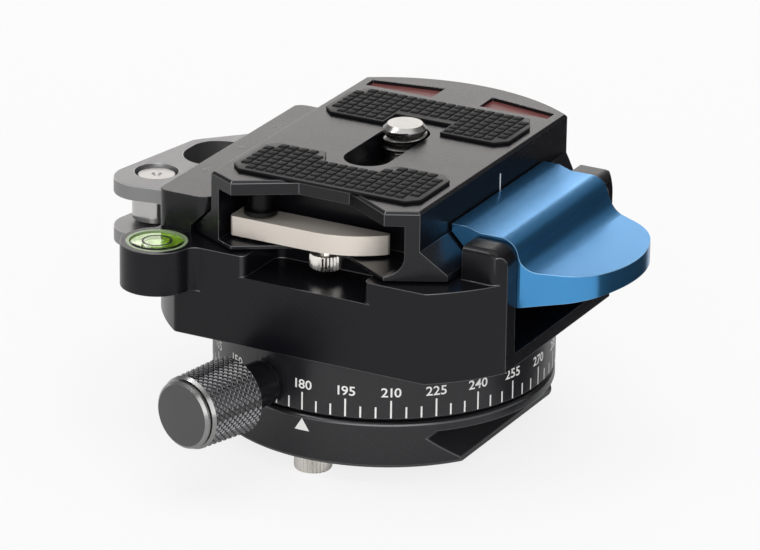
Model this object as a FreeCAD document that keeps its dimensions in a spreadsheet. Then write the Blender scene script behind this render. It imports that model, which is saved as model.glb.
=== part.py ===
"""Panoramic tripod head with a quick-release clamp and its camera plate.

Frame: the origin is on the pan axis at the underside of the base.  +Z is up,
-Y is the front with the level and the lock knob, +X is the release lever.
All sizes are in millimetres and degrees, and all of them come from the sheet.
"""
import FreeCAD, Part
import math
import os
import Sketcher

V = FreeCAD.Vector
TURN = FreeCAD.Rotation

os.makedirs("parts", exist_ok=True)
doc = FreeCAD.newDocument("panoramic_head")

# alias, value, meaning
SIZES = (
    ("gap", 0.3, "air between pieces that move past each other"),
    ("fit", 0.05, "radial running fit of a pin in its bore"),
    ("edge", 0.35, "small edge chamfer"),
    ("through", 60, "length of a cut that goes right through"),
    # the camera-plate dovetail, used on the foot and on the plate
    ("flange_half", 19.0, "half width over the dovetail flanges"),
    ("neck_half", 15.7, "half width at the dovetail neck"),
    ("lip", 0.85, "upright edge of the flange"),
    # base
    ("base_r", 23.5, "radius of the base rim"),
    ("rim_low", 5.0, "underside of the base rim"),
    ("base_top", 6.6, "top of the base"),
    ("hub_r", 9.0, "radius of the hub the drum turns on"),
    ("hub_top", 13.2, "top of the hub"),
    ("bush_r", 6.0, "outer radius of the thread bush"),
    ("thread_r", 4.76, "bore radius of the 3/8 inch tripod thread"),
    ("bush_top", 9.5, "top of the thread bush"),
    ("bush_slot", 1.2, "width of the driver slots in the bush"),
    ("stop_y", 20.2, "distance of the base stop screws from the axis"),
    ("stop_r", 2.6, "radius of the knurled stop screw heads"),
    ("stop_drop", 2.35, "how far the base stop screws hang down"),
    ("stop_depth", 4.5, "depth of the stop screw threads"),
    ("thin_shank_r", 1.25, "radius of the small screw shanks"),
    ("stop_shank_r", 1.5, "radius of the stop screw shanks"),
    ("ring_in_r", 15.0, "inner radius of the slide ring"),
    ("ring_out_r", 21.0, "outer radius of the slide ring"),
    ("washer_in_r", 9.3, "inner radius of the friction washer"),
    ("washer_out_r", 12.4, "outer radius of the friction washer"),
    ("retainer_r", 12.2, "radius of the retainer disc"),
    ("retainer_t", 1.1, "thickness of the retainer disc"),
    ("retainer_pitch", 6.8, "pitch radius of the retainer screws"),
    ("retainer_head", 2.3, "radius of the countersunk heads"),
    ("retainer_bottom", 10.9, "tips of the retainer screws"),
    # scale drum
    ("drum_r", "=base_r", "radius of the scale drum"),
    ("drum_top", 14.6, "top of the drum and underside of the clamp body"),
    ("drum_floor", 12.8, "floor of the drum counterbore"),
    ("drum_well_r", 12.5, "radius of the drum counterbore"),
    # pan lock
    ("knob_turn", 14, "angle of the lock knob from the front, in degrees"),
    ("knob_z", 10.05, "height of the lock knob axis"),
    ("knob_r", 5.4, "radius of the knurled knob at its inner end"),
    ("knob_end_r", 5.05, "radius of the knurled knob at its outer end"),
    ("band_r", 4.7, "small radius of the bevel beside the knob's groove"),
    ("band_h", 0.45, "width of that bevel"),
    ("groove_r", 4.2, "radius of the groove behind the knob's cap"),
    ("groove_h", 0.2, "width of the groove"),
    ("cap_r", 4.6, "radius of the knob's cap"),
    ("cap_h", 0.85, "height of the cap"),
    ("cap_face_r", 3.95, "radius of the flat on the cap"),
    ("cap_bevel", 0.45, "height of the bevel round the cap"),
    ("knob_near", "=collar_end + gap", "inner end of the knob"),
    ("knob_length", 10.35, "length of the lock knob"),
    ("knob_far", "=knob_near + knob_length", "outer end of the knob"),
    ("collar_r", 3.1, "radius of the knob collar"),
    ("collar_out", 1.2, "narrow neck between the drum and the collar"),
    ("collar_seat", "=drum_r - edge", "seat of the collar on the drum"),
    ("collar_h", 6.4, "reach of the knob collar from its seat"),
    ("collar_end", "=collar_seat + collar_h", "outer end of the collar"),
    ("bush_shank_r", 2.7, "radius of the collar shank"),
    ("bush_shank_end", 17.5, "inner end of the collar shank"),
    ("stud_r", 1.75, "radius of the lock stud"),
    ("stud_near", "=shoe_far + gap", "inner end of the lock stud"),
    ("stud_hold", 5.8, "how far the stud reaches into the knob"),
    ("stud_far", "=knob_near + stud_hold", "outer end of the lock stud"),
    ("shoe_air", 0.5, "air between the brake shoe and the hub"),
    ("shoe_near", "=hub_r + shoe_air", "inner face of the brake shoe"),
    ("shoe_far", 13.5, "outer face of the brake shoe"),
    # clamp body
    ("body_top", 27.4, "top of the clamp body"),
    ("body_half_x", 25.8, "half width of the clamp body"),
    ("body_half_y", 23.5, "half length of the clamp body"),
    ("front_r", 29.7, "corner radius about the axis, front right"),
    ("left_r", 30.6, "corner radius about the axis, front left"),
    ("rear_r", 31.0, "corner radius about the axis, rear"),
    ("body_round", 1.2, "rounding of the upright corners"),
    ("notch_half", 9.0, "half width of the stop notches"),
    ("notch_floor", 24.35, "floor of the stop notches"),
    ("notch_wall", 14.2, "inner wall of the stop notches"),
    ("notch_round", 1.5, "inner corner radius of the notches"),
    ("notch_lip", 0.9, "outer corner radius of the notches"),
    ("boss_x", -22.1, "level boss centre across"),
    ("boss_y", -23.9, "level boss centre along"),
    ("boss_r", 5.0, "radius of the level boss"),
    ("boss_low", 21.2, "underside of the level boss"),
    ("boss_blend", 1.6, "blend between the boss and the body"),
    ("vial_r", 4.15, "radius of the level"),
    ("vial_low", 22.4, "floor of the level hole"),
    ("vial_wall", 0.4, "wall of the level cup"),
    ("vial_floor", 0.8, "floor of the level cup"),
    ("lens_t", 0.9, "thickness of the level lens"),
    ("bubble_r", 1.35, "radius of the bubble"),
    ("bubble_h", 0.5, "depth of the bubble"),
    ("pocket_x", 16.0, "inner wall of the lever pocket"),
    ("pocket_floor", 16.5, "floor of the lever pocket"),
    ("ear_near", -16.4, "front face of the front ear"),
    ("ear_in_near", -12.2, "inner face of the front ear"),
    ("ear_in_far", 15.9, "inner face of the rear ear"),
    ("ear_far", 20.1, "rear face of the rear ear"),
    ("ear_depth", 6.0, "depth of the ears across"),
    ("ear_x", "=body_half_x - ear_depth", "inner side of the ears"),
    ("ear_top", 32.1, "top of the ears"),
    ("ear_slope", 2.4, "width of the falling part of the ear top"),
    ("ear_flat", "=body_half_x - ear_slope", "where the ear top starts to fall"),
    ("ear_shoulder", 29.8, "height of the ear's outer corner"),
    ("ear_round", 1.5, "rounding of the ears' upright outer edges"),
    ("ear_brow", 1.0, "rounding of the ears' top edges, front and rear"),
    ("turret_x", 12.5, "turret screws across"),
    ("turret_y", 12.0, "turret screws along"),
    ("turret_seat", 19.0, "seat of the turret screw heads"),
    ("turret_tip", 8.5, "tips of the turret screws"),
    ("head_r", 2.25, "radius of the socket heads"),
    ("head_h", 2.5, "height of the socket heads"),
    ("socket_r", 1.15, "corner radius of the hexagon sockets"),
    ("socket_h", 1.2, "depth of the hexagon sockets"),
    ("well_r", 2.4, "radius of the counterbores"),
    # fixed jaw
    ("jaw_step", 1.1, "set-back of the jaw from the body's side"),
    ("jaw_out", "=body_half_x - jaw_step", "outer side of the fixed jaw"),
    ("jaw_top", 33.0, "top of the fixed jaw"),
    ("jaw_near", -19.7, "front end of the fixed jaw"),
    ("jaw_far", 19.5, "rear end of the fixed jaw"),
    ("jaw_round", 1.9, "rounding of the jaw's outer corners"),
    ("jaw_hook_round", 2.9, "rounding of the hook's ends in plan"),
    ("jaw_screw_in", 3.9, "jaw screws in from the body's side"),
    ("jaw_screw_x", "=0 - (body_half_x - jaw_screw_in)", "jaw screws across"),
    ("jaw_screw_near", -15.0, "front jaw screw"),
    ("jaw_screw_far", 15.0, "rear jaw screw"),
    ("jaw_head_low", 14.9, "underside of the jaw screw heads"),
    ("jaw_tip", 31.2, "tips of the jaw screws"),
    # release lever
    ("pin_in", 3.2, "lever pin in from the body's side"),
    ("pin_x", "=body_half_x - pin_in", "lever pin across"),
    ("pin_z", 24.0, "lever pin height"),
    ("pin_r", 1.25, "radius of the lever pin"),
    ("pin_near", -15.4, "front end of the lever pin"),
    ("pin_far", 19.6, "rear end of the lever pin"),
    ("lever_top", 33.1, "top of the lever's jaw"),
    ("lever_ridge", 18.3, "end of the flat on the lever's jaw"),
    ("lever_dip", 20.2, "start of the lever's saddle"),
    ("lever_saddle", 32.5, "height of the lever's saddle"),
    ("lever_round", 2.5, "where the lever starts to fall, in from the body's side"),
    ("lever_fall", "=body_half_x - lever_round", "where the lever starts to fall"),
    ("bend_out", 0.1, "middle of the S bend, out from the body's side"),
    ("lever_side", "=body_half_x + bend_out", "middle of the lever's S bend across"),
    ("lever_side_z", 30.2, "middle of the lever's S bend, height"),
    ("foot_out", 3.0, "start of the paddle, out from the body's side"),
    ("lever_foot", "=body_half_x + foot_out", "start of the paddle"),
    ("paddle_z", 28.0, "top of the paddle at its root"),
    ("paddle_reach", 8.1, "length of the flat of the paddle"),
    ("paddle_tip", "=lever_foot + paddle_reach", "tip of the paddle"),
    ("paddle_tip_z", 27.4, "top of the paddle at its tip"),
    ("paddle_low", 24.6, "underside of the paddle at its tip"),
    ("root_in", 1.4, "root of the paddle, in from the body's side"),
    ("lever_root_x", "=body_half_x - root_in", "underside of the paddle root, across"),
    ("lever_root_z", 22.8, "underside of the paddle root, height"),
    ("lever_low", 21.3, "lowest part of the lever barrel"),
    ("break_in", 6.6, "length of the curved sides of the paddle"),
    ("paddle_break", "=paddle_tip - break_in", "where the paddle's sides start to curve"),
    ("paddle_break_y", 11.9, "half width of the paddle there"),
    ("nose_in", 1.7, "length of the paddle's nose"),
    ("paddle_nose", "=paddle_tip - nose_in", "where the paddle's nose starts"),
    ("paddle_nose_y", 7.6, "half width of the paddle at the nose"),
    ("start_out", 0.4, "start of the paddle's sides, out from the body's side"),
    ("paddle_start", "=body_half_x + start_out", "where the paddle's sides leave the lever"),
    ("relief", 1.0, "hollow behind the lever's hook"),
    ("coil_r", 1.75, "mean radius of the lever springs"),
    ("coil_wire", 0.3, "wire radius of the lever springs"),
    ("coil_pitch", 0.65, "pitch of the lever springs"),
    ("coil_length", 1.95, "length of the lever springs"),
    ("coil_well_r", 2.25, "radius of the spring wells"),
    ("coil_well", 2.6, "depth of the spring wells"),
    # strap bracket
    ("bracket_top", 29.0, "top of the bracket"),
    ("bracket_low", 19.8, "underside of the bracket"),
    ("bracket_reach", 13.45, "reach of the bracket's front corner from the body's side"),
    ("bracket_out", "=body_half_x + bracket_reach", "front corner of the bracket across"),
    ("bracket_near", -12.55, "front corner of the bracket along"),
    ("bracket_root", -10.2, "front end of the bracket at the body"),
    ("bracket_far", 16.2, "rear end of the bracket"),
    ("bracket_slope", 8.9, "where the rear corner starts"),
    ("waist_in", 4.05, "how far the bracket's outer side runs in to the rear corner"),
    ("bracket_waist", "=bracket_out - waist_in", "where the rear corner starts, across"),
    ("slope_out", 2.6, "end of the rear corner, out from the body's side"),
    ("bracket_slope_x", "=body_half_x + slope_out", "where the rear corner ends"),
    ("bracket_round", 4.6, "rounding of the front corner"),
    ("waist_round", 2.0, "rounding of the corner behind the finger hole"),
    ("tine", 2.1, "thickness of the fork tines"),
    ("bracket_web", 2.1, "wall between the body and the fork"),
    ("fork_wall", "=body_half_x + bracket_web", "inner wall of the fork"),
    ("fork_end", -0.8, "rear end of the fork"),
    ("hole_near", 0.9, "front end of the finger hole"),
    ("hole_far", 10.9, "rear end of the finger hole"),
    ("hole_rim", 5.25, "outer side of the finger hole, in from the front corner"),
    ("hole_out", "=bracket_out - hole_rim", "outer side of the finger hole"),
    ("hole_in", "=fork_wall", "inner side of the finger hole"),
    ("hole_round", 4.2, "corner radius of the finger hole"),
    ("roller_in", 5.95, "roller centre in from the bracket's front corner"),
    ("roller_x", "=0 - (bracket_out - roller_in)", "roller centre across"),
    ("roller_y", -4.6, "roller centre along"),
    ("roller_r", 3.4, "radius of the roller"),
    ("roller_pin_r", 1.5, "radius of the roller pin"),
    ("roller_head_r", 2.7, "radius of the roller pin head"),
    ("head_air", 0.35, "air round the roller pin head"),
    ("roller_head_t", 0.9, "thickness of the roller pin head"),
    ("roller_sink", 0.4, "how far the pin head is sunk"),
    ("bracket_screw_near", -8.0, "front bracket screw"),
    ("bracket_screw_far", -3.0, "rear bracket screw"),
    ("bracket_screw_z", 24.4, "height of the bracket screws"),
    ("screw_bite", 5.4, "grip of the bracket screws in the body"),
    ("bracket_tip", "=body_half_x - screw_bite", "tips of the bracket screws"),
    ("small_head_r", 1.9, "radius of the bracket screw heads"),
    ("small_head_h", 1.2, "height of the bracket screw heads"),
    ("small_socket_h", 0.7, "depth of their sockets"),
    ("small_socket_r", 0.95, "corner radius of their sockets"),
    # camera plate
    ("plate_top", 37.4, "top of the camera plate"),
    ("tip_x", 11.5, "front tips of the plate across"),
    ("tip_y", -22.7, "front tips of the plate along"),
    ("side_y", -20.5, "front end of the plate's sides"),
    ("waist_x", 3.8, "half width of the straight middle of the front"),
    ("waist_y", -17.9, "straight middle of the front"),
    ("tail_y", 0.95, "centre of the rounded rear end"),
    ("tail_r", 27.4, "radius of the rounded rear end"),
    ("slot_half", 3.3, "half width of the screw slot"),
    ("slot_reach", 8.8, "half length of the screw slot"),
    ("channel_half", 5.9, "half width of the channel under the slot"),
    ("channel_top", 33.2, "roof of the channel"),
    ("bay_left", -14.1, "left wall of the front bay"),
    ("bay_right", 13.9, "right wall of the front bay"),
    ("bay_back", -13.3, "rear wall of the front bay"),
    ("bay_floor", 0.5, "thickness of the bay's floor"),
    ("bay_low", "=body_top + gap + bay_floor", "floor of the front bay"),
    ("bay_high", 35.4, "roof of the front bay"),
    ("bay_round", 2.9, "rounding of the bay's lower right corner"),
    ("pad_t", 0.65, "height of the rubber pads"),
    ("pad_half", 14.1, "half width of the pads"),
    ("pad_corner", 1.6, "corner cut of the pads"),
    ("front_pad_near", -18.8, "front edge of the front pad"),
    ("front_pad_far", -7.3, "rear edge of the front pad"),
    ("front_bite", -10.7, "end of the front pad's bite"),
    ("bite_half", 3.8, "half width of the front pad's bite"),
    ("rear_pad_near", 7.1, "front edge of the rear pad"),
    ("rear_pad_far", 18.2, "rear edge of the rear pad"),
    ("rear_bite", 10.8, "end of the rear pad's bite"),
    ("rear_bite_half", 4.3, "half width of the rear pad's bite"),
    ("insert_in", 3.7, "inner side of the inserts"),
    ("insert_out", 14.1, "outer side of the inserts"),
    ("insert_near", 20.3, "front edge of the inserts"),
    ("insert_far", 24.4, "rear edge of the inserts at their inner side"),
    ("insert_corner", 22.6, "rear edge of the inserts at their outer side"),
    ("insert_sink", 0.5, "how far the inserts are sunk"),
    ("insert_t", 0.6, "thickness of the inserts"),
    ("plate_stop_r", 2.35, "radius of the plate's stop screw heads"),
    ("plate_stop_near", -17.0, "front plate stop screw"),
    ("plate_stop_far", 24.0, "rear plate stop screw"),
    ("plate_stop_low", 25.55, "underside of the plate stop screws"),
    ("plate_stop_tip", 32.0, "tip of the rear plate stop screw"),
    # swing-out strap bar
    ("bar_low", 28.6, "underside of the strap bar"),
    ("bar_high", 31.35, "top of the strap bar"),
    ("bar_left", -13.2, "left end of the strap bar"),
    ("bar_front", -19.9, "front face of the strap bar"),
    ("bar_back", -15.2, "rear face of the strap bar"),
    ("bar_bend", -0.8, "where the front face starts to curve back"),
    ("bar_right", 9.4, "right end of the strap bar"),
    ("bar_round", 0.5, "rounding of the bar's upright corners"),
    ("pivot_x", -9.8, "bar pivot across"),
    ("pivot_y", -17.4, "bar pivot along"),
    ("pivot_r", 1.5, "radius of the bar pivot"),
    ("pivot_flange_r", 2.3, "radius of the pivot flange"),
    ("pivot_flange_t", 0.6, "thickness of the pivot flange"),
    ("pivot_sink", 1.2, "depth of the pivot in the bay roof"),
    # camera screw
    ("screw_y", 5.2, "camera screw along"),
    ("screw_r", 3.1, "thread radius of the camera screw"),
    ("screw_neck_r", 2.5, "radius of the plain shank below the thread"),
    ("screw_thread_low", 34.4, "lower end of the thread"),
    ("screw_end", 39.0, "tip of the camera screw"),
    ("screw_flat_r", 2.4, "radius of the flat on the tip"),
    ("screw_head_r", 5.4, "radius of the camera screw head"),
    ("screw_head_low", 27.95, "underside of the camera screw head"),
    ("screw_head_high", 29.5, "top of the camera screw head"),
    ("screw_slot", 1.4, "width of the screwdriver slot"),
    ("screw_slot_h", 0.9, "depth of the screwdriver slot"),
    ("clip_r", 4.0, "outer radius of the retaining clip"),
    ("clip_t", 0.5, "thickness of the retaining clip"),
    ("disc_r", 5.6, "radius of the washer"),
    ("disc_low", 32.4, "underside of the washer"),
    ("disc_high", 33.0, "top of the washer"),
)


class Size:
    """A size of the head: its value and the sheet formula that gives it."""

    def __init__(self, formula, value):
        self.formula = formula
        self.value = value

    def __add__(self, other):
        return joined("+", self, other, self.value + number(other))

    def __radd__(self, other):
        return joined("+", other, self, number(other) + self.value)

    def __sub__(self, other):
        return joined("-", self, other, self.value - number(other))

    def __rsub__(self, other):
        return joined("-", other, self, number(other) - self.value)

    def __mul__(self, other):
        return joined("*", self, other, self.value * number(other))

    def __rmul__(self, other):
        return joined("*", other, self, number(other) * self.value)

    def __truediv__(self, other):
        return joined("/", self, other, self.value / number(other))

    def __neg__(self):
        return Size(f"(0 - {self.formula})", -self.value)


def number(size):
    return size.value if isinstance(size, Size) else float(size)


def formula(size):
    return size.formula if isinstance(size, Size) else f"({size})"


def joined(sign, left, right, value):
    return Size(f"({formula(left)} {sign} {formula(right)})", value)


def root(size):
    return Size(f"sqrt({formula(size)})", math.sqrt(number(size)))


def sine(size):
    return Size(f"sin({formula(size)})", math.sin(math.radians(number(size))))


def cosine(size):
    return Size(f"cos({formula(size)})", math.cos(math.radians(number(size))))


def leg(long_side, side):
    """Other leg of a right triangle."""
    return root(long_side * long_side - side * side)


class Sizes:
    """The named sizes, read back from the sheet."""

    def __init__(self, sheet, table):
        for row, (alias, _, meaning) in enumerate(table, 1):
            sheet.set(f"A{row}", meaning)
            sheet.setAlias(f"B{row}", alias)
        for row, (_, value, _) in enumerate(table, 1):
            sheet.set(f"B{row}", str(value))
        doc.recompute()
        for alias, _, _ in table:
            setattr(self, alias, Size(f"Sizes.{alias}", float(sheet.get(alias))))


sheet = doc.addObject("Spreadsheet::Sheet", "Sizes")
S = Sizes(sheet, SIZES)

# heights and widths that follow from the others
DRUM_LOW = S.base_top + S.gap
PLATE_LOW = S.body_top + S.gap
NECK_UP = S.lip + S.flange_half - S.neck_half
PLATE_NECK = PLATE_LOW + NECK_UP
PLATE_SLOPE = (S.side_y - S.tip_y) / (S.neck_half - S.tip_x)
FLANGE_NEAR = S.side_y + PLATE_SLOPE * (S.flange_half - S.neck_half)
JAW_IN = S.neck_half + S.gap
FLANGE_OUT = S.flange_half + S.gap
LEVER_MID = (S.ear_in_near + S.ear_in_far) / 2
LEVER_WIDE = S.ear_in_far - S.ear_in_near - 2 * S.gap
LEVER_NEAR = S.ear_in_near + S.gap
LEVER_FAR = S.ear_in_far - S.gap
BODY_NEAR = leg(S.front_r, S.body_half_x)
BODY_NEAR_LEFT = leg(S.left_r, S.body_half_x)
BODY_FAR = leg(S.rear_r, S.body_half_x)


# ---------------------------------------------------------------- helpers


def bind(thing, path, size):
    if isinstance(size, Size):
        thing.setExpression(path, size.formula)
    return thing


def place(thing, x=0, y=0, z=0, turn=None, angle=None):
    """Put a piece at bound coordinates with a fixed or bound rotation."""
    thing.Placement = FreeCAD.Placement(V(number(x), number(y), number(z)), turn or TURN())
    bind(thing, ".Placement.Base.x", x)
    bind(thing, ".Placement.Base.y", y)
    bind(thing, ".Placement.Base.z", z)
    if angle is not None:
        bind(thing, "Placement.Rotation.Angle", angle)
    return thing


def origin_plane(body, role):
    return [item for item in body.Origin.OriginFeatures if item.Role == role][0]


def new_body(name):
    return doc.addObject("PartDesign::Body", name)


def circle(x, y, r):
    return ("circle", x, y, r)


def pin_point(sketch, index, end, x, y):
    """Hold one point of the sketch at bound coordinates."""
    for kind, size in (("DistanceX", x), ("DistanceY", y)):
        if size is not None:
            hold(sketch, Sketcher.Constraint(kind, -1, 1, index, end, number(size)), size)


def hold(sketch, constraint, size):
    row = sketch.addConstraint(constraint)
    sketch.renameConstraint(row, f"size{row}")
    if isinstance(size, Size):
        sketch.setExpression(f"Constraints.size{row}", size.formula)


def arc_between(start, end, axis, centre):
    """Shorter arc between two points whose centre has one known coordinate."""
    (ax, ay), (bx, by) = start, end
    if axis == "cx":
        cy = (bx * bx + by * by - ax * ax - ay * ay - 2 * centre * (bx - ax)) / (2 * (by - ay))
        cx = centre
    else:
        cx = (bx * bx + by * by - ax * ax - ay * ay - 2 * centre * (by - ay)) / (2 * (bx - ax))
        cy = centre
    first = math.atan2(ay - cy, ax - cx)
    last = math.atan2(by - cy, bx - cx)
    radius = math.hypot(ax - cx, ay - cy)
    ring = Part.Circle(V(cx, cy, 0), V(0, 0, 1), radius)
    forward = (last - first) % (2 * math.pi) < math.pi
    if forward:
        return Part.ArcOfCircle(ring, first, last), 1, 2
    return Part.ArcOfCircle(ring, last, first), 2, 1


def draw_loop(sketch, loop):
    """Closed outline; a third entry in a vertex makes the next side an arc."""
    count = len(loop)
    sides = []
    for row, vertex in enumerate(loop):
        after = loop[(row + 1) % count]
        start = (number(vertex[0]), number(vertex[1]))
        end = (number(after[0]), number(after[1]))
        if len(vertex) == 2:
            segment = Part.LineSegment(V(*start, 0), V(*end, 0))
            sides.append((sketch.addGeometry(segment, False), 1, 2))
        else:
            axis, centre = vertex[2]
            arc, first, last = arc_between(start, end, axis, number(centre))
            index = sketch.addGeometry(arc, False)
            sides.append((index, first, last))
    for row, (index, _, last) in enumerate(sides):
        after, first, _ = sides[(row + 1) % count]
        sketch.addConstraint(Sketcher.Constraint("Coincident", index, last, after, first))
    for (index, first, _), vertex in zip(sides, loop):
        pin_point(sketch, index, first, vertex[0], vertex[1])
        if len(vertex) == 3:
            axis, centre = vertex[2]
            across = centre if axis == "cx" else None
            along = centre if axis == "cy" else None
            pin_point(sketch, index, 3, across, along)


def outline(body, name, role, offset, *loops):
    """Fully constrained sketch on an origin plane of the body."""
    sketch = body.newObject("Sketcher::SketchObject", name)
    sketch.AttachmentSupport = [(origin_plane(body, role), "")]
    sketch.MapMode = "FlatFace"
    if offset is not None:
        sketch.AttachmentOffset = FreeCAD.Placement(V(0, 0, number(offset)), TURN())
        bind(sketch, ".AttachmentOffset.Base.z", offset)
    for loop in loops:
        if loop[0] == "circle":
            _, x, y, r = loop
            ring = Part.Circle(V(number(x), number(y), 0), V(0, 0, 1), number(r))
            index = sketch.addGeometry(ring, False)
            pin_point(sketch, index, 3, x, y)
            hold(sketch, Sketcher.Constraint("Radius", index, number(r)), r)
        else:
            draw_loop(sketch, loop)
    doc.recompute()
    if not sketch.FullyConstrained:
        raise RuntimeError(f"{name} is not fully constrained")
    return sketch


def volume(body):
    return body.Shape.Volume if body.Tip is not None else 0.0


def finish_feature(body, made, before, grows):
    doc.recompute()
    change = volume(body) - before
    if "Invalid" in made.State or (change <= 0 if grows else change >= 0):
        raise RuntimeError(f"{made.Name} changed the volume by {change:.3f}")
    return made


def pad(body, name, sketch, length, both=False, reverse=False):
    before = volume(body)
    made = body.newObject("PartDesign::Pad", name)
    made.Profile = sketch
    made.Length = number(length)
    bind(made, "Length", length)
    made.Midplane = both
    made.Reversed = reverse
    return finish_feature(body, made, before, True)


def cut(body, name, sketch, length, both=False, reverse=False):
    before = volume(body)
    made = body.newObject("PartDesign::Pocket", name)
    made.Profile = sketch
    made.Length = number(length)
    bind(made, "Length", length)
    made.Midplane = both
    made.Reversed = reverse
    return finish_feature(body, made, before, False)


def spin(body, name, sketch):
    before = volume(body)
    made = body.newObject("PartDesign::Revolution", name)
    made.Profile = sketch
    made.ReferenceAxis = (sketch, ["V_Axis"])
    made.Angle = 360
    return finish_feature(body, made, before, True)


def turned(name, *profile, plane="XZ_Plane"):
    """Turned piece: profile of (radius, height) about the plane's upright axis."""
    body = new_body(name)
    spin(body, f"{name}_turn", outline(body, f"{name}_profile", plane, None, profile))
    return body


def edges_where(body, rule):
    shape = body.Tip.Shape
    return [f"Edge{row}" for row, edge in enumerate(shape.Edges, 1) if rule(edge)]


def soften(body, name, kind, size, rule):
    """Round or chamfer the edges of the body that match a rule."""
    names = edges_where(body, rule)
    if not names:
        raise RuntimeError(f"{name} found no edge")
    base = body.Tip
    made = body.newObject(f"PartDesign::{kind}", name)
    made.Base = (base, names)
    path = "Radius" if kind == "Fillet" else "Size"
    setattr(made, path, number(size))
    bind(made, path, size)
    body.Tip = made
    doc.recompute()
    if "Invalid" in made.State:
        raise RuntimeError(f"{name} failed")
    return made


def upright(edge):
    """Straight edge along Z."""
    if len(edge.Vertexes) != 2:
        return False
    a, b = (vertex.Point for vertex in edge.Vertexes)
    return abs(a.x - b.x) < 1e-4 and abs(a.y - b.y) < 1e-4 and abs(a.z - b.z) > 0.1


def flat_ring(height, radius):
    """Rule for circular edges of one radius at one height."""

    def rule(edge):
        curve = edge.Curve
        if not isinstance(curve, Part.Circle):
            return False
        middle = edge.CenterOfMass
        same_height = abs(middle.z - number(height)) < 1e-3
        return same_height and abs(curve.Radius - number(radius)) < 1e-3

    return rule


WAYS = {
    "up": TURN(),
    "down": TURN(V(1, 0, 0), 180),
    "front": TURN(V(1, 0, 0), 90),
    "rear": TURN(V(1, 0, 0), -90),
    "right": TURN(V(0, 1, 0), 90),
    "left": TURN(V(0, 1, 0), -90),
}


def rod(name, r, length, x=0, y=0, z=0, way="up"):
    made = doc.addObject("Part::Cylinder", name)
    bind(made, "Radius", r)
    bind(made, "Height", length)
    return place(made, x, y, z, WAYS[way])


def cone(name, low_r, high_r, length, x=0, y=0, z=0, way="up"):
    made = doc.addObject("Part::Cone", name)
    bind(made, "Radius1", low_r)
    bind(made, "Radius2", high_r)
    bind(made, "Height", length)
    return place(made, x, y, z, WAYS[way])


def hexagon(name, r, length, x=0, y=0, z=0, way="up"):
    made = doc.addObject("Part::Prism", name)
    made.Polygon = 6
    bind(made, "Circumradius", r)
    bind(made, "Height", length)
    return place(made, x, y, z, WAYS[way])


def fused(name, *pieces):
    made = doc.addObject("Part::MultiFuse", name)
    made.Shapes = list(pieces)
    return made


def less(name, base, *tools):
    """Base with the tools cut out of it."""
    made = doc.addObject("Part::Cut", name)
    made.Base = base
    made.Tool = tools[0] if len(tools) == 1 else fused(f"{name}_tools", *tools)
    return made


def socket_screws(name, spots, way, head_r, head_h, shank_r, shank, socket_r, socket_h):
    """Socket-head screws; each spot is the point where the head meets the shank."""
    back = {"up": "down", "down": "up", "right": "left", "left": "right"}[way]
    step = {"up": (0, 0, -1), "down": (0, 0, 1), "right": (-1, 0, 0), "left": (1, 0, 0)}[way]
    solids = []
    sockets = []
    for row, (x, y, z) in enumerate(spots, 1):
        solids.append(rod(f"{name}_head{row}", head_r, head_h, x, y, z, back))
        solids.append(rod(f"{name}_shank{row}", shank_r, shank, x, y, z, way))
        top = [a + head_h * b if b else a for a, b in zip((x, y, z), step)]
        sockets.append(hexagon(f"{name}_socket{row}", socket_r, socket_h, *top, way))
    return less(name, fused(f"{name}_solids", *solids), *sockets)


NODES = []


def node(thing, label):
    """Register a piece under the name of its file."""
    thing.Label = label
    NODES.append(thing)
    return thing


def mirrored(points, sign):
    """Outline flipped across the YZ plane when the sign is negative."""
    out = []
    for point in points:
        x = point[0] * sign
        extra = point[2:]
        if extra and extra[0][0] == "cx":
            extra = (("cx", extra[0][1] * sign),)
        out.append((x, point[1], *extra))
    return out


# ------------------------------------------------------------------- base


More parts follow.
